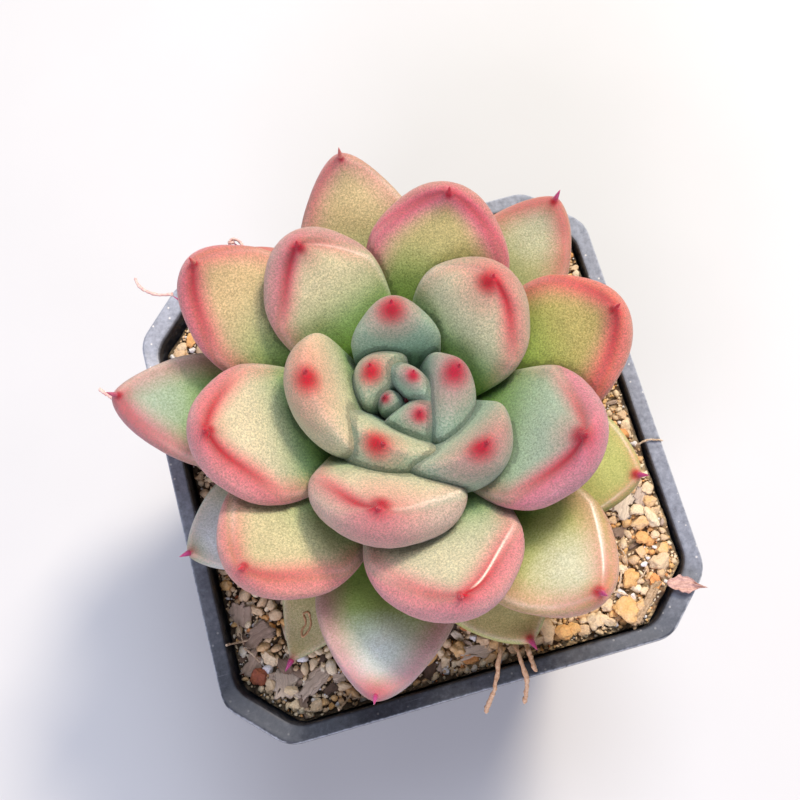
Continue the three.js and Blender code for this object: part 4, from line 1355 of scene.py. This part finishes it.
gritTones = [
    (0.0, "#a05c48"), (0.12, "#bd7048"), (0.25, "#e3a165"), (0.42, "#e8bb7c"), (0.56, "#dfbf99"),
    (0.7, "#e8cfab"), (0.84, "#f4e4c4"), (1.0, "#ecebee"),
]
barkTones = [(0.0, "#34271f"), (0.3, "#7a6353"), (0.6, "#b39c8a"), (0.85, "#d2bfae"), (1.0, "#e2d2bb")]
peatTones = [(0.35, "#7c5d42"), (0.7, "#e8cca0")]
stoneFinish = {
    "cloud": 1.1,
    "wander": 0.3,  # how far the tone wanders over one stone
    "shade": (0.3, 0.7, 0.78, 1.16),
    "bump": 0.2,
    "clay": {"pores": 0.3, "rough": 0.92},
    "bark": {"pores": 0.22, "rough": 0.88, "fibre": 0.35, "wave": 3},
}
peatFinish = {
    "crumbs": 0.7,
    "cloud": 2.5,
    "shade": (0, 0.6, 1.25, 0.6),
    "rightBright": (-22, 16, 0.3, 1),  # darker to the left, lighter to the right
    "bump": 0.3,
}


def toneRamp(tree, tones, share):
    ramp = addNode(tree, "ValToRGB", {"Fac": share})
    elements = ramp.node.color_ramp.elements
    while len(elements) < len(tones):
        elements.new(0.5)
    for element, (place, hexText) in zip(elements, tones):
        element.position = place
        element.color = linear(hexText)
    return ramp


def makeStoneFinish(name, tones, look):
    material, tree, place = newMaterial(name)
    cloud = addNode(tree, "TexNoise", {
        "Vector": place, "Scale": fineness(stoneFinish["cloud"]), "Detail": 4}, "Fac")
    pores = addNode(tree, "TexNoise", {
        "Vector": place, "Scale": fineness(look["pores"]), "Detail": 3, "Roughness": 0.65}, "Fac")
    if "fibre" in look:
        # fibres run along each flake, so the pattern follows its own width
        aside = addNode(tree, "Attribute", {"attribute_name": "aside"}, "Fac")
        fibres = 1 / look["fibre"]
        across = addNode(tree, "Math", {"operation": "MULTIPLY_ADD", 0: aside, 1: fibres, 2: pores})
        across = addNode(tree, "Math", {"operation": "MULTIPLY_ADD", 0: cloud, 1: look["wave"], 2: across})
        pores = addNode(tree, "TexNoise", {
            "noise_dimensions": "1D", "W": across, "Scale": 1, "Detail": 3, "Roughness": 0.7}, "Fac")
    # each stone's own tone, wandering a little over its surface
    own = addNode(tree, "Attribute", {"attribute_name": "tone"}, "Fac")
    much = stoneFinish["wander"]
    wander = addNode(tree, "Math", {"operation": "MULTIPLY_ADD", 0: cloud, 1: much, 2: -much / 2})
    tone = addNode(tree, "Math", {"operation": "ADD", 0: own, 1: wander})
    shade = addNode(tree, "MapRange", {"Value": pores, **span(*stoneFinish["shade"])})
    colour = toneRamp(tree, tones, tone)
    return finishMaterial(material, {
        "Base Color": addNode(tree, "VectorMath", {"operation": "SCALE", 0: colour, "Scale": shade}),
        "Roughness": look["rough"],
        "Normal": addNode(tree, "Bump", {
            "Height": pores, "Strength": 0.9, "Distance": stoneFinish["bump"] * mm}),
    })


def makePeat():
    # peat fines and clay dust: near black towards the left, brown and grey crumbs towards the right
    material, tree, place = newMaterial("peatFines")
    crumbs = addNode(tree, "TexVoronoi", {
        "Vector": place, "Scale": fineness(peatFinish["crumbs"])}, "Distance")
    cloud = addNode(tree, "TexNoise", {
        "Vector": place, "Scale": fineness(peatFinish["cloud"]), "Detail": 5}, "Fac")
    left, right, leftDark, rightBright = peatFinish["rightBright"]
    east = addNode(tree, "SeparateXYZ", {0: place}, "X")
    brighterRight = addNode(tree, "MapRange", {"Value": east, **span(left * mm, right * mm, leftDark, rightBright)})
    shade = addNode(tree, "MapRange", {"Value": crumbs, **span(*peatFinish["shade"])})
    shade = addNode(tree, "Math", {"operation": "MULTIPLY", 0: shade, 1: brighterRight})
    colour = toneRamp(tree, peatTones, cloud)
    return finishMaterial(material, {
        "Base Color": addNode(tree, "VectorMath", {"operation": "SCALE", 0: colour, "Scale": shade}),
        "Roughness": 0.9,
        "Normal": addNode(tree, "Bump", {
            "invert": True, "Height": crumbs, "Strength": 1, "Distance": peatFinish["bump"] * mm}),
    })


finishPiece(drawBed(), "compost_bed", makePeat(), "compost", "compost")
# baked clay and pumice: dry, porous and dull, each grain of its own tone
bakedClay = makeStoneFinish("bakedClay", gritTones, stoneFinish["clay"])
# conifer bark, weathered grey, with layers along the grain
weatheredBark = makeStoneFinish("weatheredBark", barkTones, stoneFinish["bark"])
for name, piece in scatterCompost().items():
    finishPiece(piece, name, weatheredBark if name == "bark_flakes" else bakedClay, "compost")
    print("laid:", name, len(piece.data.polygons), "faces")


# Stem, hidden by the leaves
corkLook = {"green": "#8c9458", "brown": "#6b563c", "scars": 2.2, "bump": 0.2}


def drawStem():
    deselect()
    low = stem["low"] - stem["rim"]
    foot = [(radius, low + rise) for radius, rise in stem["foot"]]
    outline = [(0, low)] + foot + stem["profile"] + [(0, stem["top"])]
    knots = np.linspace(0, 1, len(outline))
    bpy.ops.mesh.primitive_uv_sphere_add(segments=40, ring_count=36, radius=1)
    trunk = bpy.context.object
    ball = vertexArray(trunk.data)
    share = 1 - np.arccos(np.clip(ball[:, 2], -1, 1)) / np.pi
    turn = np.arctan2(ball[:, 1], ball[:, 0])
    radius = np.interp(share, knots, [r for r, z in outline])
    rise = np.interp(share, knots, [z for r, z in outline])
    places = [stem["x"] + radius * np.cos(turn), stem["y"] + radius * np.sin(turn), stem["rim"] + rise]
    setVertices(trunk.data, np.stack(places, axis=1) * mm)
    trunk.data.shade_smooth()
    return trunk


def makeCork():
    # a young stem: green-brown cork with leaf scars
    material, tree, place = newMaterial("youngCork")
    scars = addNode(tree, "TexVoronoi", {"Vector": place, "Scale": fineness(corkLook["scars"])}, "Distance")
    return finishMaterial(material, {
        "Base Color": paint(tree, corkLook["green"], [(corkLook["brown"], scars)]),
        "Roughness": 0.7,
        "Normal": addNode(tree, "Bump", {
            "Height": scars, "Strength": 0.5, "Distance": corkLook["bump"] * mm}),
    })


finishPiece(drawStem(), "cork_stem", makeCork(), "stem", "stem")


# Dried roots over the front of the rim: x, y and height above the rim's plane
strands = {
    "dry_root_1": [
        (5, -31.4, -1.8), (4, -33.4, 0.9), (2.2, -37.3, 0.9), (1.4, -38.8, -0.4), (0.6, -39.9, -4.5),
        (0, -41.2, -8.3),
    ],
    "dry_root_2": [
        (7, -31.8, -1.8), (6.7, -34, 0.9), (6.8, -37.3, 0.9), (6.7, -38.8, -0.4), (6.6, -39.8, -4),
        (6.1, -41.4, -8),
    ],
    "dry_root_3": [(8.9, -31.8, -1.8), (8.2, -34, 0.8), (8.3, -35.6, 1), (8.5, -37.4, 0.9)],
}
strand = {"radius": 0.34, "kink": 0.12, "knots": 26, "wander": 0.25, "endRadius": 0.45}


def drawStrand(points, radius, kink, seed):
    # a kinked fibre through these points, thinner at its far end
    rng = random.Random(seed)
    line = bpy.data.curves.new("strand", "CURVE")
    line.dimensions = "3D"
    line.resolution_u = 1
    line.bevel_depth = radius * mm
    line.bevel_resolution = 3
    line.use_fill_caps = True
    spline = line.splines.new("POLY")
    knots = [catmull(points, t) for t in np.linspace(0, len(points) - 1, strand["knots"])]
    spline.points.add(len(knots) - 1)
    for number, (knot, place) in enumerate(zip(spline.points, knots)):
        free = 0 < number < len(knots) - 1
        nudge = Vector([rng.uniform(-kink, kink) if free else 0 for _ in range(3)])
        knot.co = (*((place + nudge) * mm), 1)
        knot.radius = 1 + strand["wander"] * rng.uniform(-1, 1)
    spline.points[-1].radius = strand["endRadius"]
    thing = bpy.data.objects.new("strand", line)
    bpy.context.scene.collection.objects.link(thing)
    selectOnly(thing)
    bpy.ops.object.convert(target="MESH")
    bpy.context.object.data.shade_smooth()
    return bpy.context.object


def catmull(points, t):
    # the place at t on a smooth curve through the points
    start = min(int(t), len(points) - 2)
    t -= start
    p = [Vector(points[min(max(start + k, 0), len(points) - 1)]) for k in (-1, 0, 1, 2)]
    return 0.5 * ((2 * p[1]) + (p[2] - p[0]) * t + (2 * p[0] - 5 * p[1] + 4 * p[2] - p[3]) * t ** 2
                  + (3 * p[1] - p[0] - 3 * p[2] + p[3]) * t ** 3)


fibreLooks = {
    "driedRoot": {"pale": "#f0cba8", "dark": "#c8946c", "size": 0.5, "rough": 0.75},
    "driedTip": {"pale": "#f2d6c8", "dark": "#d8a3a0", "size": 0.5, "rough": 0.75},
    "driedScar": {"pale": "#e2b98f", "dark": "#a9744e", "size": 0.4, "rough": 0.75},
    "paleStraw": {"pale": "#e0cbb0", "dark": "#a88a6c", "size": 0.4, "rough": 0.75},
    "bleachedStraw": {"pale": "#c9ad8c", "dark": "#8f7456", "size": 0.35, "rough": 0.75},
    "shrivelledLeaf": {"pale": "#dcb3a4", "dark": "#a87c74", "size": 0.7, "rough": 0.5},
}
fibreFinish = {"span": (0.35, 0.65), "bump": 0.08}


def makeDryFibre(name):
    # dried root, leaf or straw: stringy, dull, pale where it has bleached
    look = fibreLooks[name]
    material, tree, place = newMaterial(name)
    cloud = addNode(tree, "TexNoise", {
        "Vector": place, "Scale": fineness(look["size"]), "Detail": 4, "Roughness": 0.7}, "Fac")
    bleached = addNode(tree, "MapRange", {"Value": cloud, **span(*fibreFinish["span"])})
    return finishMaterial(material, {
        "Base Color": paint(tree, look["dark"], [(look["pale"], bleached)]),
        "Roughness": look["rough"],
        "Normal": addNode(tree, "Bump", {
            "Height": cloud, "Strength": 0.7, "Distance": fibreFinish["bump"] * mm}),
    })


rootFibre = makeDryFibre("driedRoot")
for seed, (node, places) in enumerate(strands.items()):
    points = [(x, y, stem["rim"] + z) for x, y, z in places]
    root = drawStrand(points, strand["radius"], strand["kink"], seed)
    finishPiece(root, "fibre_of_" + node, rootFibre, "dry_matter", node)


# Dried ends of single leaves, a dried scar and threads on the compost, by the pixels that they run through
driedTips = {
    "radius": 0.24,
    "kink": 0.04,
    "rise": 0.15,  # from one pixel to the next
    "pixels": {
        22: [(106, 394), (99, 389)],
        25: [(229, 243), (233, 239), (240, 242), (243, 248)],
        30: [(172, 294), (160, 295), (148, 292), (139, 286), (135, 278)],
    },
}
scar = {
    "leaf": 32,
    "pixels": [
        (303, 614), (308, 612), (311, 622), (309, 630), (303, 637), (302, 630), (306, 623), (303, 614),
    ],
    "radius": 0.17,
    "kink": 0.03,
    "seed": 7,
    "sightTo": 60,  # the height that the line of sight is aimed at
}
threads = {
    "shown": [
        [(340, 710), (347, 700), (351, 694)],
        [(352, 699), (368, 696), (386, 697)],
        [(229, 646), (238, 642), (247, 640)],
        [(243, 648), (250, 653), (259, 662)],
        [(634, 448), (643, 444), (651, 443), (660, 444)],
        [(596, 597), (612, 592), (628, 596)],
    ],
    "shownRadius": 0.15,
    "shownKink": 0.05,
    "shownRise": 1.4,
    "onCompost": 1.1,
    "onRim": 0.2,
    "rimFrom": 0.9,  # inside the pot's wall
    "count": 60,
    "length": (2.2, 6),
    "radius": (0.08, 0.17),
    "kink": 0.08,
    "turns": (0, 6.28),  # radians
    "bows": (-0.5, 0.5),
    "knots": (0, 0.35, 0.7, 1),
    "rises": (0.4, 1.2),
    "clear": 0.5,  # of the leaves
    "wallRoom": 1,
    "seed": 11,
}


def leafTip(index):
    places = vertexArray(leaves[index].data) / mm
    return Vector(places[np.hypot(places[:, 0] - stem["x"], places[:, 1] - stem["y"]).argmax()])


def onLeaf(index, pixel):
    # where the line of sight through a pixel meets a leaf
    eye = cameraPlace() * mm
    sight = (underPixel(pixel, scar["sightTo"]) * mm - eye).normalized()
    spot = surfaceTree(leaves[index]).ray_cast(eye, sight)[0]
    return spot / mm if spot else None


def drawDriedTips():
    pieces = []
    for index, pixels in driedTips["pixels"].items():
        tip = leafTip(index)
        points = [tip] + [underPixel(pixel, tip.z + driedTips["rise"] * n) for n, pixel in enumerate(pixels)]
        pieces.append(drawStrand(points, driedTips["radius"], driedTips["kink"], index))
    return joinPieces("dried_tips", pieces)


def drawScar():
    spots = [onLeaf(scar["leaf"], pixel) for pixel in scar["pixels"]]
    return drawStrand([spot for spot in spots if spot], scar["radius"], scar["kink"], scar["seed"])


def shownThread(pixels, seed):
    # a thread lies on the compost, or on the rim where it reaches that
    high = stem["rim"] - bed["depthBelowRim"] + threads["shownRise"]
    points = [underPixel(pixel, high) for pixel in pixels]
    for point in points:
        point.z = stem["rim"] + threads["onRim"]
        if insidePot(point.x, point.y, threads["rimFrom"]):
            point.z = compostTop(point.x, point.y) + threads["onCompost"]
    return drawStrand(points, threads["shownRadius"], threads["shownKink"], seed)


def drawThreads():
    rng = random.Random(threads["seed"])
    pieces = [shownThread(pixels, seed) for seed, pixels in enumerate(threads["shown"])]
    while len(pieces) < threads["count"]:
        x, y = (rng.uniform(-bed["half"], bed["half"]) for _ in range(2))
        turn, bow, length = (rng.uniform(*threads[key]) for key in ("turns", "bows", "length"))
        steps = [(length * t, turn + bow * t) for t in threads["knots"]]
        flat = [(x + far * math.cos(heading), y + far * math.sin(heading)) for far, heading in steps]
        inside = all(insidePot(a, b, threads["wallRoom"]) for a, b in flat)
        if math.hypot(x, y) < filler["bare"] or not inside:
            continue
        points = [Vector((a, b, compostTop(a, b) + rng.uniform(*threads["rises"]))) for a, b in flat]
        if all(clearOfLeaves(point * mm, threads["clear"] * mm) for point in points):
            pieces.append(drawStrand(points, rng.uniform(*threads["radius"]), threads["kink"], len(pieces)))
    return joinPieces("threads", pieces)


finishPiece(drawDriedTips(), "dried_leaf_tips", makeDryFibre("driedTip"), "dry_matter")
finishPiece(drawScar(), "scar_of_leaf_33", makeDryFibre("driedScar"), "dry_matter")
finishPiece(drawThreads(), "straw_threads", makeDryFibre("paleStraw"), "compost")


# Shed leaf: a shrivelled husk that lies over the front right corner of the rim
shed = {
    "x": 34.2,
    "y": -31.3,
    "rise": 0.9,
    "length": 6,
    "width": 2.5,
    "thickness": 0.9,
    "turn": -24,
    "tilt": -8,
    "taper": 0.8,
    "taperFrom": (-0.1, 0.8),
    "creases": (1.2, 3.5),  # how many along and across
    "creased": 0.45,
    "creaseSeed": 4,
    "tears": 3.4,
    "torn": 0.45,
    "tearSeeds": (3, 1),  # the first has its sign from the side, so that the two sides are torn differently
    "skin": 0.16,
    "curl": 0.2,
}


def drawShedLeaf():
    deselect()
    bpy.ops.mesh.primitive_uv_sphere_add(segments=48, ring_count=32, radius=1)
    husk = bpy.context.object
    ball = vertexArray(husk.data)
    along, across, above = ball[:, 2], ball[:, 1], ball[:, 0]
    taper = 1 - shed["taper"] * smooth(along, *shed["taperFrom"])
    lengthways, crossways = shed["creases"]
    bySide, seed = shed["tearSeeds"]
    crease, tear = [], []
    for a, b in zip(along, across):
        crease.append(noise.noise(Vector((a * lengthways, b * crossways, shed["creaseSeed"]))))
        tear.append(noise.noise(Vector((a * shed["tears"], math.copysign(bySide, b), seed))))
    x = along * shed["length"] / 2
    y = across * taper * (1 + shed["torn"] * np.array(tear)) * shed["width"] / 2
    z = above * shed["skin"] + shed["creased"] * np.array(crease) * shed["thickness"]
    z = np.clip(z + shed["curl"] * across ** 2, -shed["thickness"] / 2, shed["thickness"] / 2)
    setVertices(husk.data, np.stack([x, y, z], axis=1) * mm)
    turn = Matrix.Rotation(math.radians(shed["turn"]), 4, "Z")
    tilt = Matrix.Rotation(math.radians(shed["tilt"]), 4, "Y")
    place = Vector((shed["x"], shed["y"], stem["rim"] + shed["rise"])) * mm
    husk.data.transform(Matrix.Translation(place) @ turn @ tilt)
    faceOutwards(husk)
    husk.data.shade_smooth()
    return husk


finishPiece(drawShedLeaf(), "husk_of_shed_leaf", makeDryFibre("shrivelledLeaf"), "dry_matter", "shed_leaf")


# Splinter of straw: a few fibres side by side
splinter = {
    "start": (658, 582),  # pixel
    "startOn": (29, -31),  # the compost below it
    "startRise": 1.3,
    "end": (632, 630),
    "endOn": (25, -35),
    "endRise": 1,
    "fibres": 5,
    "radius": 0.32,
    "kink": 0.05,
    "spread": 0.35,
    "turn": 1.3,  # radians from one fibre to the next
    "stack": 0.12,  # rise from one fibre to the next
    "knots": (0.33, 0.66),
    "shorter": (0.03, 0.04),  # by how much of its length each starts later and ends sooner than the last
    "low": -0.3,
    "seed": 20,
}


def drawSplinter():
    start = underPixel(splinter["start"], compostTop(*splinter["startOn"]) + splinter["startRise"])
    end = underPixel(splinter["end"], compostTop(*splinter["endOn"]) + splinter["endRise"])
    fibres = []
    for k in range(splinter["fibres"]):
        turn, spread, rise = k * splinter["turn"], splinter["spread"], splinter["stack"] * k
        aside = Vector((spread * math.cos(turn), spread * math.sin(turn), splinter["low"] + rise))
        later, sooner = splinter["shorter"]
        points = [start.lerp(end, t) + aside for t in (later * k, *splinter["knots"], 1 - sooner * k)]
        fibres.append(drawStrand(points, splinter["radius"], splinter["kink"], k + splinter["seed"]))
    return joinPieces("splinter", fibres)


finishPiece(drawSplinter(), "straw_splinter", makeDryFibre("bleachedStraw"), "compost")
print("strands, shed leaf and splinter drawn")


# Studio: pale floor, a warm softbox at the upper right, a cool sky light and a fill from the front
studio = {
    "floorSide": 3,  # metres
    "floor": "#d4d5d6",
    "floorClouds": "#d9dadb",
    "cloudsPerMetre": 30,
    "world": "#dfe6f2",
    "worldStrength": 0.3,
    "exposure": 0,
    "aim": (0, 4, 75),
    # heading anticlockwise from +X, elevation, distance, side, power in watts and colour
    "lamps": {
        "key_softbox": (40, 51, 900, 190, 7.6, "#ffefd8"),
        "sky_softbox": (62, 66, 800, 400, 3.4, "#eaf1ff"),
        "front_fill": (238, 36, 900, 500, 4.8, "#efe9ff"),
    },
}


def makeFloor():
    deselect()
    bpy.ops.mesh.primitive_plane_add(size=studio["floorSide"], location=(0, 0, 0))
    floor = bpy.context.object
    floor.name = "floor"
    material, tree, place = newMaterial("paleFloor")
    clouds = addNode(tree, "TexNoise", {
        "Vector": place, "Scale": studio["cloudsPerMetre"], "Detail": 3}, "Fac")
    floor.data.materials.append(finishMaterial(material, {
        "Base Color": paint(tree, studio["floor"], [(studio["floorClouds"], clouds)]),
        "Roughness": 0.8,
    }))


def addSoftbox(name, azimuth, elevation, distance, size, power, hexText):
    # a square light that looks at the rosette
    turn, lift = math.radians(azimuth), math.radians(elevation)
    way = Vector((math.cos(turn) * math.cos(lift), math.sin(turn) * math.cos(lift), math.sin(lift)))
    bpy.ops.object.light_add(type="AREA", location=Vector(studio["aim"]) * mm + way * distance * mm)
    lamp = bpy.context.object
    lamp.name = name
    lamp.data.size = size * mm
    lamp.data.energy = power
    lamp.data.color = linear(hexText)[:3]
    lamp.rotation_euler = way.to_track_quat("Z", "Y").to_euler()


def makeWorld():
    world = bpy.data.worlds.new("studio")
    world.use_nodes = True
    background = world.node_tree.nodes["Background"]
    background.inputs["Color"].default_value = linear(studio["world"])
    background.inputs["Strength"].default_value = studio["worldStrength"]
    bpy.context.scene.world = world
    bpy.context.scene.view_settings.view_transform = "Standard"
    bpy.context.scene.view_settings.exposure = studio["exposure"]


makeFloor()
for name, settings in studio["lamps"].items():
    addSoftbox(name, *settings)
makeWorld()

print("studio lit")
